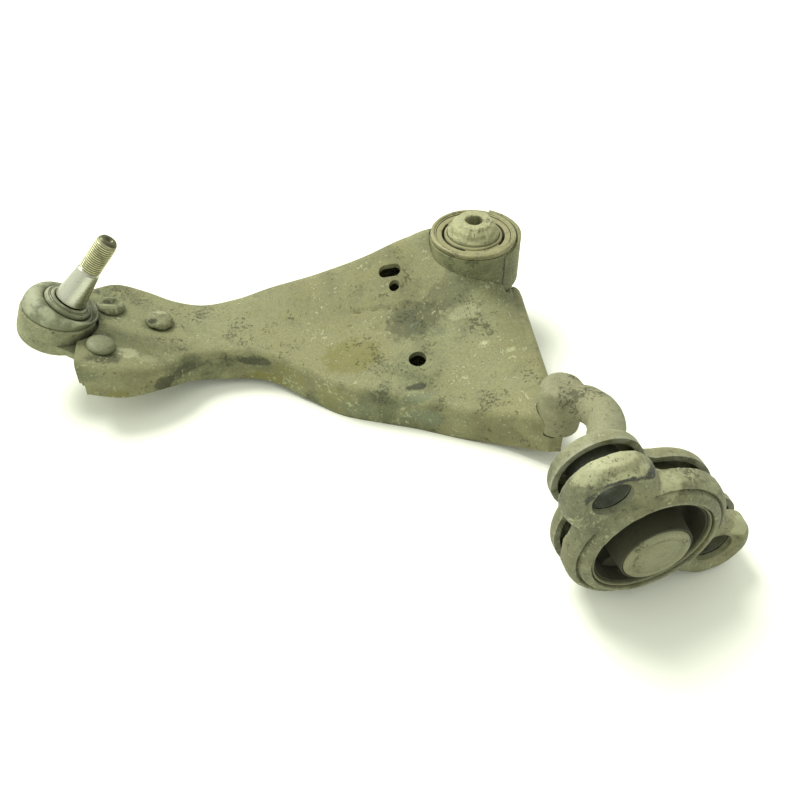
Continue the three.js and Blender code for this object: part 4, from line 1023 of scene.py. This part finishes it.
class CONTROLARM_OT_arm_shells(bpy.types.Operator):
    """Makes the arm's upper and lower pressed shells"""

    bl_idname = "control_arm.arm_shells"
    bl_label = "Arm shells"

    def execute(self, context):
        us = np.linspace(0, 1, context.scene.control_arm_sizes.shell_steps)
        finish = materials()["arm"]
        eye_outer = 31.0
        eye_bottom = 24 - DRAWN_BUSH_TOP

        def wrap_outline():
            inner, outer = eye_outer, eye_outer + 2 * GAP + SHEET
            start, end = -0.36 * math.pi - GAP / outer, 0.27 * math.pi + GAP / outer
            return arc(0, 0, outer, start, end, 48) + arc(0, 0, inner - 0.01, end, start, 48)

        def neighbours(tag):
            return [
                turned(f"eye_bore_{tag}", [(0, eye_bottom - 10), (eye_outer + GAP, eye_bottom - 10),
                                           (eye_outer + GAP, 20), (0, 20)],
                       0, FRONT_PLACE, 128),
                prism(f"wrap_bore_{tag}", wrap_outline(), eye_bottom + 18 - GAP, -1 + GAP, FRONT_PLACE),
                boss_body(f"boss_bore_{tag}", GAP),
                pin_body(f"pin_bore_{tag}", 12.5),
                turned(f"housing_bore_{tag}", [(0, -60), (26.6, -60), (26.6, 40), (0, 40)], 0, BALL_PLACE, 96),
            ]

        upper = sheet_between("arm_upper_shell_skin", with_end(roof_rows(us, 0.0), 0.0, -1, 0.0),
                              with_end(roof_rows(us, SHEET), SHEET, -1, 0.0))
        carve(upper, neighbours("upper") + [
            slot_cutter("slot", -64, 272, 3.5, 4.2, -0.3),
            round_cutter("small_hole", -64, 261, 3.7),
            round_cutter("round_hole", -65, 204, 6.0),
            prism("end_step", [(-296, 232), (-280.3, 232), (-280.3, 253), (-296, 253)], 18, 36.5),
        ], sharp=44)
        finish_piece(upper, "arm", "painted_steel", finish, "arm_upper_shell")

        lower = sheet_between("arm_lower_shell_skin", with_end(tray_rows(us, 0.0), SHEET + SHELL_GAP, 1, TRAY_WALL),
                              with_end(tray_rows(us, SHEET), 2 * SHEET + SHELL_GAP, 1, TRAY_WALL))
        carve(lower, neighbours("lower"), sharp=44)
        finish_piece(lower, "arm", "painted_steel", finish, "arm_lower_shell")
        return {"FINISHED"}


class CONTROLARM_OT_front_bush(bpy.types.Operator):
    """Makes the upright front bush: eye, wrapped lip, flanged sleeve, rubber and hub"""

    bl_idname = "control_arm.front_bush"
    bl_label = "Front bush"

    def execute(self, context):
        shine = materials()
        bottom = 24 - DRAWN_BUSH_TOP
        eye = turned("front_bush_eye_tube", [(28.8, bottom), (31, bottom), (31, -3.8), (28.8, -3.8)], 0.5,
                     FRONT_PLACE, 128)
        finish_piece(eye, "arm", "painted_steel", shine["eye"], "front_bush_eye")

        inner, outer = 31.3, 34.8
        angles = np.linspace(-0.36 * math.pi, 0.27 * math.pi, 70)
        rows = []
        for a in angles:
            full = float(smooth(a, -0.34 * math.pi, 0.0))
            skin, top = inner + 0.12 + (outer - inner - 0.12) * full, -5.0 + 4.0 * full
            profile = filleted([(inner, bottom + 18), (skin, bottom + 18), (skin, top, 2.4 * full), (inner, top, 0.8)],
                               0.05 + 0.75 * full)
            rows.append([(r * math.cos(a), r * math.sin(a), z) for r, z in profile])
        count = len(rows[0])
        faces = ring_faces(len(rows), count)
        faces += [tuple(range(count)), tuple((len(rows) - 1) * count + i for i in range(count))]
        wrap = body_mesh("front_bush_eye_lip", np.array(rows).reshape(-1, 3), faces, FRONT_PLACE)
        finish_piece(wrap, "arm", "painted_steel", shine["eye"], "front_bush_eye_wrap")

        sleeve = turned("front_bush_flanged_sleeve", [
            (28.5, bottom + 2), (28.5, -3.5, 0.2), (30.4, -3.5, 0.6), (30.4, -0.8, 0.9), (29.6, 0, 0.6), (27.9, 0, 0.4),
            (27.3, -0.9, 0.3), (26.5, -0.9, 0.2), (26.5, bottom + 2)], 0.5, FRONT_PLACE, 128)
        finish_piece(sleeve, "arm", "bush_sleeve_steel", shine["sleeve"], "front_bush_sleeve")

        core = turned("front_bush_hub", [
            (6.1, bottom - 4), (12.5, bottom - 4), (18.4, bottom + 6), (18.4, 1, 0.8), (16.6, 3.2, 0.8),
            (15.6, 6.0, 1.0), (12.7, 9.3, 0.7),
            (11.8, 10, 0.5), (6.8, 10, 0.3), (6.1, 9.3, 0.2)], 0.5, FRONT_PLACE, 128)
        dirt_displace(core, 0.0007, 0.004, 3, along=lambda p: 1.0 if p.z > 80.5 and p.z < 88.8 else 0.15)
        finish_piece(core, "front_mount", "core_steel", shine["hub"], "front_bush_core")

        rubber_ring("front_bush_rubber", FRONT_PLACE, 18.7, 26.2, bottom + 8, -1.7, 20.7, 22.2, 0.95, 0,
                    ("front_mount", "arm"), 3, "front_bush_rubber", (-0.6, -1.4), "dusty_rubber")
        return {"FINISHED"}


class CONTROLARM_OT_rear_spigot(bpy.types.Operator):
    """Makes the forged spigot: boss and cranked pin in one forging"""

    bl_idname = "control_arm.rear_spigot"
    bl_label = "Rear spigot"

    def execute(self, context):
        swell = np.interp(np.linspace(0, 1, 70), [0, 0.25, 0.45, 0.6, 1], [11.5, 11.5, 11.4, 11.3, 11.3])
        spigot = pin_body("rear_spigot_forging", swell)
        carve(spigot, [boss_body("boss", 0.0)], "UNION")
        skin = spigot.modifiers.new("even_skin", "REMESH")
        skin.mode = "VOXEL"
        skin.voxel_size = 0.0009
        ease = spigot.modifiers.new("forged_corners", "SMOOTH")
        ease.factor = 0.5
        ease.iterations = 9
        settle(spigot, 60)
        dirt_displace(spigot, 0.0003, 0.006, 5)
        finish_piece(spigot, "arm", "forged_steel", materials()["spigot"], "rear_spigot")
        return {"FINISHED"}


class CONTROLARM_OT_rear_bush(bpy.types.Operator):
    """Makes the rear bush: core, end cap, rubber and can"""

    bl_idname = "control_arm.rear_bush"
    bl_label = "Rear bush"

    def execute(self, context):
        shine = materials()
        core = turned("rear_bush_core_sleeve", [
            (13.3, -60), (16, -60), (18.6, -52), (18.6, -6.3), (0, -6.3), (0, -8.5), (11.8, -8.5), (11.8, -50)],
            0.5, REAR_PLACE, 128)
        finish_piece(core, "arm", "core_steel", shine["forged"], "rear_bush_core")
        cap = turned("rear_bush_end_cap", [
            (0, -6), (18.6, -6), (19.2, -4.5, 0.8), (19.2, -1.5, 1.4), (17.4, 0, 1.4), (15.0, 0, 0.7),
            (14.1, -0.9, 0.5),
            (13.4, -0.9, 0.5), (12.6, -0.3, 0.5), (0, -0.3)], 0.5, REAR_PLACE, 128)
        finish_piece(cap, "arm", "forged_steel", shine["forged"], "rear_bush_cap")
        can = turned("rear_bush_outer_can", [(33, -45), (34.6, -45), (34.6, -7.2, 0.8), (33.4, -6.5, 0.6),
                                             (33, -7.5, 0.3)],
                     0.5, REAR_PLACE, 128)
        finish_piece(can, "bracket", "bracket_steel", shine["can"], "rear_bush_can")
        rubber_ring("rear_bush_rubber", REAR_PLACE, 18.9, 32.7, -42, -16, 21.5, 30.5, 0.85, 0,
                    ("arm", "bracket"), 4, "rear_bush_rubber", (-1.9, -8.5), "bush_rubber")
        return {"FINISHED"}


class CONTROLARM_OT_bracket(bpy.types.Operator):
    """Makes the two-eared bracket: front and rear pressings and the two bolt spacers"""

    bl_idname = "control_arm.bracket"
    bl_label = "Rear bracket"

    def execute(self, context):
        shine = materials()
        edge = context.scene.control_arm_sizes.bracket_edge * 1000
        front = bracket_tray("bracket_front_pressing", FRONT_FACE, FRONT_BACK, edge)
        collar = turned("collar", [
            (COLLAR_INNER, FRONT_FACE - SHEET), (COLLAR_OUTER + 4.0, FRONT_FACE - SHEET),
            (COLLAR_OUTER + 3.4, FRONT_FACE - 2.0),
            (COLLAR_OUTER + 2.6, FRONT_FACE + 0.4, 0.8), (COLLAR_OUTER + 2.0, FRONT_FACE + 1.6, 1.0),
            (COLLAR_OUTER - 0.8, COLLAR_FRONT - 0.2, 1.2), (COLLAR_INNER, COLLAR_FRONT, 0.9)], 0.4, REAR_PLACE, 128)
        carve(front, [collar], "UNION")
        skin = front.modifiers.new("even_skin", "REMESH")
        skin.mode = "VOXEL"
        skin.voxel_size = 0.0009
        ease = front.modifiers.new("pressed_corners", "SMOOTH")
        ease.factor = 0.5
        ease.iterations = 3
        settle(front, 60)
        sculpt_rings(front)
        dirt_displace(front, 0.0003, 0.009, 11)
        carve(front, bracket_bores("front"), sharp=34)
        finish_piece(front, "bracket", "bracket_steel", shine["bracket"], "bracket_front_shell")
        rear = bracket_tray("bracket_rear_pressing", REAR_BACK, REAR_FRONT, edge)
        carve(rear, bracket_bores("rear"), sharp=34)
        finish_piece(rear, "bracket", "bracket_steel", shine["bracket"], "bracket_rear_shell")
        for index, ear in enumerate((EAR_A, EAR_B)):
            spacer = turned(f"bracket_bolt_spacer_{index + 1}", [
                (EAR_HOLE, REAR_BACK), (EAR_HOLE + SHEET, REAR_BACK), (EAR_HOLE + SHEET, FRONT_FACE - SHEET - 3.0, 0.4),
                (EAR_HOLE, FRONT_FACE - SHEET - 3.0, 0.4)], 0.7, REAR_PLACE @ place_at(ear[0], ear[1], 0), 72)
            finish_piece(spacer, "bracket", "spacer_steel", shine["spacer"], f"bracket_spacer_{index + 1}")
        return {"FINISHED"}


HOUSING_RADIUS, HOUSING_HEIGHT, HOUSING_INNER = 24.4, 22.5, 19.0
RIVET_PLACES = [(-257, 307, 0.0), (-266, 262, 0.0), (-227, 293, 1.1)]


def on_plate(x, y):
    return (x + 250) / math.cos(math.radians(18.5)), y - 290


def hull(points):
    """Convex outline of plan points, counter-clockwise."""
    ordered = sorted(set((round(x, 4), round(y, 4)) for x, y in points))

    def half(items):
        chain = []
        for p in items:
            while len(chain) > 1 and ((chain[-1][0] - chain[-2][0]) * (p[1] - chain[-2][1])
                                      - (chain[-1][1] - chain[-2][1]) * (p[0] - chain[-2][0])) <= 0:
                chain.pop()
            chain.append(p)
        return chain[:-1]

    return half(ordered) + half(ordered[::-1])


def boot_profile(angle, steps):
    """Outer line of the boot's dome at one angle round the housing, and its direction."""
    out = np.array([math.cos(angle), math.sin(angle), 0.0])
    up = np.array([0.0, 0.0, 1.0])
    stud = np.array(place_at(0, 0, -7.9, "Y", 17.3))
    foot = out * (HOUSING_RADIUS - 1.5) + up * GAP
    top = stud[:3, :3] @ (out * 16.3 + up * 14.5) + stud[:3, 3]
    out_top, axis = stud[:3, :3] @ out, stud[:3, :3] @ up
    height = top[2] - foot[2]
    a, d = foot, top
    b = foot + out * 2 + up * (0.35 * height + 3)
    c = top + out_top * 6 + axis * 4
    t = np.linspace(0, 1, steps)[:, None]
    line = (1 - t) ** 3 * a + 3 * t * (1 - t) ** 2 * b + 3 * t * t * (1 - t) * c + t ** 3 * d
    slope = 3 * (1 - t) ** 2 * (b - a) + 6 * t * (1 - t) * (c - b) + 3 * t * t * (d - c)
    side = np.cross(slope, np.cross(up, out))
    return line, side / np.linalg.norm(side, axis=1)[:, None]


class CONTROLARM_OT_ball_joint(bpy.types.Operator):
    """Makes the ball joint: housing, seat, closing cap, dust boot, its spring ring and the stud"""

    bl_idname = "control_arm.ball_joint"
    bl_label = "Ball joint"

    def execute(self, context):
        shine = materials()
        sizes = context.scene.control_arm_sizes
        housing = turned("ball_housing_cup", [
            (HOUSING_INNER, -HOUSING_HEIGHT), (HOUSING_RADIUS - 5, -HOUSING_HEIGHT, 2.0),
            (HOUSING_RADIUS - 1.2, -HOUSING_HEIGHT + 2.4, 3.0),
            (HOUSING_RADIUS - 0.2, -HOUSING_HEIGHT + 7, 3.0), (HOUSING_RADIUS, -1.2, 0.8),
            (HOUSING_RADIUS - 0.9, 0, 0.8),
            (HOUSING_INNER, 0)], 0.6, BALL_PLACE, 128)
        pads = arc(*on_plate(-292, 290), 20, 0, 2 * math.pi, 40)[:-1]
        for x, y, _ in RIVET_PLACES:
            pads += arc(*on_plate(x, y), 12, 0, 2 * math.pi, 40)[:-1]
        flange = prism("flange", hull(pads), -8.7, -4.7, PLATE_PLACE)
        bore = turned("seat_bore", [(0, -30), (HOUSING_INNER, -30), (HOUSING_INNER, 20), (0, 20)], 0, BALL_PLACE, 96)
        carve(flange, [bore])
        carve(housing, [flange], "UNION")
        finish_piece(housing, "arm", "housing_steel", shine["housing"], "ball_housing")

        cavity = 12.3
        bowl = [(cavity * math.cos(math.radians(d)), -7.9 + cavity * math.sin(math.radians(d)),
                 0) for d in range(11, -89, -6)]
        seat = turned("ball_seat_liner", [(0, -HOUSING_HEIGHT + 2), (HOUSING_INNER - GAP, -HOUSING_HEIGHT + 2),
                                          (HOUSING_INNER - GAP, -0.5, 0.3)] + bowl + [(0, -7.9 - cavity)], 0.2,
                                          BALL_PLACE)
        finish_piece(seat, "arm", "seat_plastic", shine["seat"], "ball_seat")
        cap = turned("ball_closing_disc", [
            (0, -HOUSING_HEIGHT - 0.9), (9, -HOUSING_HEIGHT - 0.9, 1.5), (11, -HOUSING_HEIGHT - 1.5, 1.5),
            (16, -HOUSING_HEIGHT - 1.5, 0.8),
            (HOUSING_INNER - GAP, -HOUSING_HEIGHT, 0.4), (HOUSING_INNER - GAP, -HOUSING_HEIGHT + 1.6),
            (0, -HOUSING_HEIGHT + 1.6)],
            0.4, BALL_PLACE)
        finish_piece(cap, "arm", "housing_steel", shine["housing"], "ball_closing_cap")

        self.make_boot(shine)
        self.make_stud(shine, sizes)
        return {"FINISHED"}

    def make_boot(self, shine):
        around, steps = 96, 33
        lines = [boot_profile(a, steps) for a in np.linspace(0, 2 * math.pi, around, endpoint=False)]
        half = steps // 2
        centre = BALL_PLACE @ Vector((0, 0, 0))
        middle = BALL_PLACE @ (place_at(0, 0, -7.9, "Y", 9) @ Vector((0, 0, 14)))
        tip = STUD_PLACE @ Vector((0, 0, 18))
        for name, first, last, bodies, ends in (
            ("dust_boot_lower_fold", 0, half + 1, ("arm", "boot_waist"), (centre, middle)),
            ("dust_boot_upper_fold", half, steps, ("boot_waist", "boot_top"), (middle, tip)),
        ):
            rows = []
            for line, side in lines:
                outer = line[first:last].copy()
                inner = (line + side * 2)[first:last].copy()
                outer[:, 2] = np.maximum(outer[:, 2], GAP)
                inner[:, 2] = np.maximum(inner[:, 2], GAP)
                rows.append(np.concatenate([outer, inner[::-1]]))
            count = len(rows[0])
            fold = body_mesh(name, np.concatenate(rows), ring_faces(around, count, loop_rows=True), BALL_PLACE,
                             sharp=55)
            finish_piece(fold, None, "boot_rubber", shine["boot_rubber"], "dust_boot_dome")
            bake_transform(fold)
        lip = turned("dust_boot_seal_lip", [
            (9.7, 13.2), (15.1, 13.2, 0.6), (15.9, 14, 0.8), (16.0, 15.4, 1.2), (15.2, 17.2, 1.4),
            (14.2, 17.8, 0.4), (13.9, 17, 0.2),
            (13, 17, 0.2), (12.8, 18.4, 0.5), (11.4, 19.2, 0.8), (9.7, 18.4)], 0.4, STUD_PLACE, 96)
        finish_piece(lip, "boot_top", "boot_rubber", shine["boot_rubber"], "dust_boot_lip")
        wire = turned("dust_boot_spring_ring", [(13.15, 17.15), (13.8, 17.15), (13.8, 17.9), (13.15, 17.9)], 0.32,
                      STUD_PLACE, 96)
        finish_piece(wire, "boot_top", "machined_steel", shine["wire"], "dust_boot_ring")

    def make_stud(self, shine, sizes):
        pitch, depth = sizes.thread_pitch * 1000, sizes.thread_depth * 1000
        ball = [(12 * math.cos(math.radians(d)), 12 * math.sin(math.radians(d)), 0) for d in range(-84, 51, 6)]
        shank = turned("ball_stud_taper", [(0, -12)] + ball + [
            (7.6, 11, 1), (9.4, 13, 0.6), (9.4, 19, 0.4), (10.4, 19.6, 0.5), (7.5, 43.6, 0.3), (7.1, 44.4, 0.3),
            (6.2, 45.4, 0.2),
            (0, 45.4)], 0.5, STUD_PLACE, 128)
        finish_piece(shank, "stud", "machined_steel", shine["taper"], "ball_stud")
        around = 72
        levels = np.concatenate([np.arange(45.0, 68.4, pitch / 12), [68.6, 69.2, 69.8, 70.6, 71.0]])
        rows = []
        for z in levels:
            row = []
            for a in np.linspace(0, 2 * math.pi, around, endpoint=False):
                turn = (z / pitch - a / (2 * math.pi)) % 1.0
                tooth = 1 - abs(2 * turn - 1)
                tooth = min(max((tooth - 0.12) / 0.70, 0), 1)
                run_out = float(smooth(z, 45.0, 46.2) * (1 - smooth(z, 67.4, 68.4)))
                radius = 7.0 - depth + depth * (tooth * run_out + 0.15 * (1 - run_out))
                if z > 68.5:
                    radius = np.interp(z, [68.5, 69.2, 70.4, 71.0], [6.5, 6.3, 5.7, 5.1])
                row.append((radius * math.cos(a), radius * math.sin(a), z))
            rows.append(row)
        for radius, z in ((3.0, 71.0), (2.5, 70.0), (1.6, 69.3), (0.3, 69.0)):
            rows.append([(radius * math.cos(a), radius * math.sin(a), z)
                         for a in np.linspace(0, 2 * math.pi, around, endpoint=False)])
        faces = ring_faces(len(rows), around)
        faces += [tuple(range(around)), tuple((len(rows) - 1) * around + i for i in range(around))]
        thread = body_mesh("ball_stud_thread", np.array(rows).reshape(-1, 3), faces, STUD_PLACE, sharp=32)
        finish_piece(thread, "stud", "machined_steel", shine["thread"], "ball_stud")


class CONTROLARM_OT_rivets(bpy.types.Operator):
    """Makes the three rivets that hold the ball joint to the arm"""

    bl_idname = "control_arm.rivets"
    bl_label = "Rivets"

    def execute(self, context):
        shine = materials()
        mud = context.scene.control_arm_sizes.mud_height
        for index, (x, y, lift) in enumerate(RIVET_PLACES):
            across, along = on_plate(x, y)
            rivet = self.make_rivet(index, lift, PLATE_PLACE @ place_at(across, along, 0))
            finish = shine["rivet_clean"] if index == 1 else shine["rivet"]
            dirt_displace(rivet, mud * (0.25, 0.10, 0.55)[index], 0.0035, 7 + index,
                          along=lambda p: 1.0 if p.z > 20 else 0.2)
            finish_piece(rivet, "arm", "rivet_steel", finish, f"rivet_{index + 1}")
        return {"FINISHED"}

    def make_rivet(self, index, lift, place):
        shank = [(0, -11.6), (5.5, -11.6, 0.8), (7, -9.0, 0.4), (5, -9.0, 0.1), (5, 0.5 + lift, 0.1)]
        dome = [(9.4, 0.4 + lift, 0.3), (9.5, 1.6 + lift, 0.6), (8.9, 3.2 + lift, 1.0), (7.2, 4.7 + lift, 1.5),
                (4.2, 5.7 + lift, 2),
                (0, 6 + lift)]
        outline = filleted(shank + dome, 0.4)
        around = 96
        rows = []
        for a in np.linspace(0, 2 * math.pi, around, endpoint=False):
            rows.append([(r * math.cos(a), r * math.sin(a), z) for r, z in outline])
        extra = []
        for a in range(around):
            line = rows[a]
            top = []
            for (x0, y0, z0), (x1, y1, z1) in zip(line, line[1:]):
                parts = 6 if z0 > 0.5 + lift and (x0 ** 2 + y0 ** 2) ** 0.5 > 4 or z0 > 5 else 1
                top += [(x0 + (x1 - x0) * k / parts, y0 + (y1 - y0) * k / parts,
                         z0 + (z1 - z0) * k / parts) for k in range(parts)]
            top.append(line[-1])
            extra.append(top)
        points = np.array(extra)
        if index == 0:
            # The head is worn flat, with a dished slot across it and a burr below the slot.
            x, y, z = points[..., 0], points[..., 1], points[..., 2]
            head = z > 1.0
            slot = np.exp(-((y - 1.6) / 3.2) ** 2) * (1 - smooth(np.abs(x + 1), 5.5, 9.0))
            burr = np.exp(-((y + 5.2) / 1.7) ** 2) * (1 - smooth(np.abs(x - 1), 4.5, 8.5))
            z[head] = np.maximum(np.minimum(z, 5.2) - 3.0 * slot + 1.0 * burr, 0.9)[head]
        if index == 2:
            x, y, z = points[..., 0], points[..., 1], points[..., 2]
            head = z > 1.5
            clump = np.exp(-(((x - 2) / 5) ** 2 + ((y - 3) / 4) ** 2))
            hollow = np.exp(-(((x + 2) / 4) ** 2 + ((y + 4) / 3) ** 2))
            z[head] = (z + 0.7 * clump - 1.1 * hollow)[head]
        count = points.shape[1]
        return body_mesh(f"rivet_{index + 1}_head", points.reshape(-1, 3), ring_faces(around, count, loop_rows=True)
                         , place, sharp=50)


# ---------------------------------------------------------------- panel and registration

OPERATORS = (
    CONTROLARM_OT_stage,
    CONTROLARM_OT_arm_shells,
    CONTROLARM_OT_front_bush,
    CONTROLARM_OT_rear_spigot,
    CONTROLARM_OT_rear_bush,
    CONTROLARM_OT_bracket,
    CONTROLARM_OT_ball_joint,
    CONTROLARM_OT_rivets,
)


class CONTROLARM_PT_panel(bpy.types.Panel):
    """Lists the arm's pieces and its settings"""

    bl_idname = "CONTROLARM_PT_panel"
    bl_label = "Control arm"
    bl_space_type = "VIEW_3D"
    bl_region_type = "UI"
    bl_category = "Control arm"

    def draw(self, context):
        for group in (context.scene.control_arm_sizes, context.scene.control_arm_colours):
            for key in group.bl_rna.properties.keys():
                if key not in {"rna_type", "name"}:
                    self.layout.prop(group, key)
        for operator in OPERATORS:
            self.layout.operator(operator.bl_idname)


CLASSES = (ControlArmSizes, ControlArmColours, *OPERATORS, CONTROLARM_PT_panel)


def register():
    for item in CLASSES:
        bpy.utils.register_class(item)
    bpy.types.Scene.control_arm_sizes = PointerProperty(type=ControlArmSizes)
    bpy.types.Scene.control_arm_colours = PointerProperty(type=ControlArmColours)


def unregister():
    del bpy.types.Scene.control_arm_colours
    del bpy.types.Scene.control_arm_sizes
    for item in reversed(CLASSES):
        bpy.utils.unregister_class(item)


def main():
    register()
    bpy.ops.control_arm.stage()
    bpy.ops.control_arm.arm_shells()
    bpy.ops.control_arm.front_bush()
    bpy.ops.control_arm.rear_spigot()
    bpy.ops.control_arm.rear_bush()
    bpy.ops.control_arm.bracket()
    bpy.ops.control_arm.ball_joint()
    bpy.ops.control_arm.rivets()


if __name__ == "__main__":
    main()
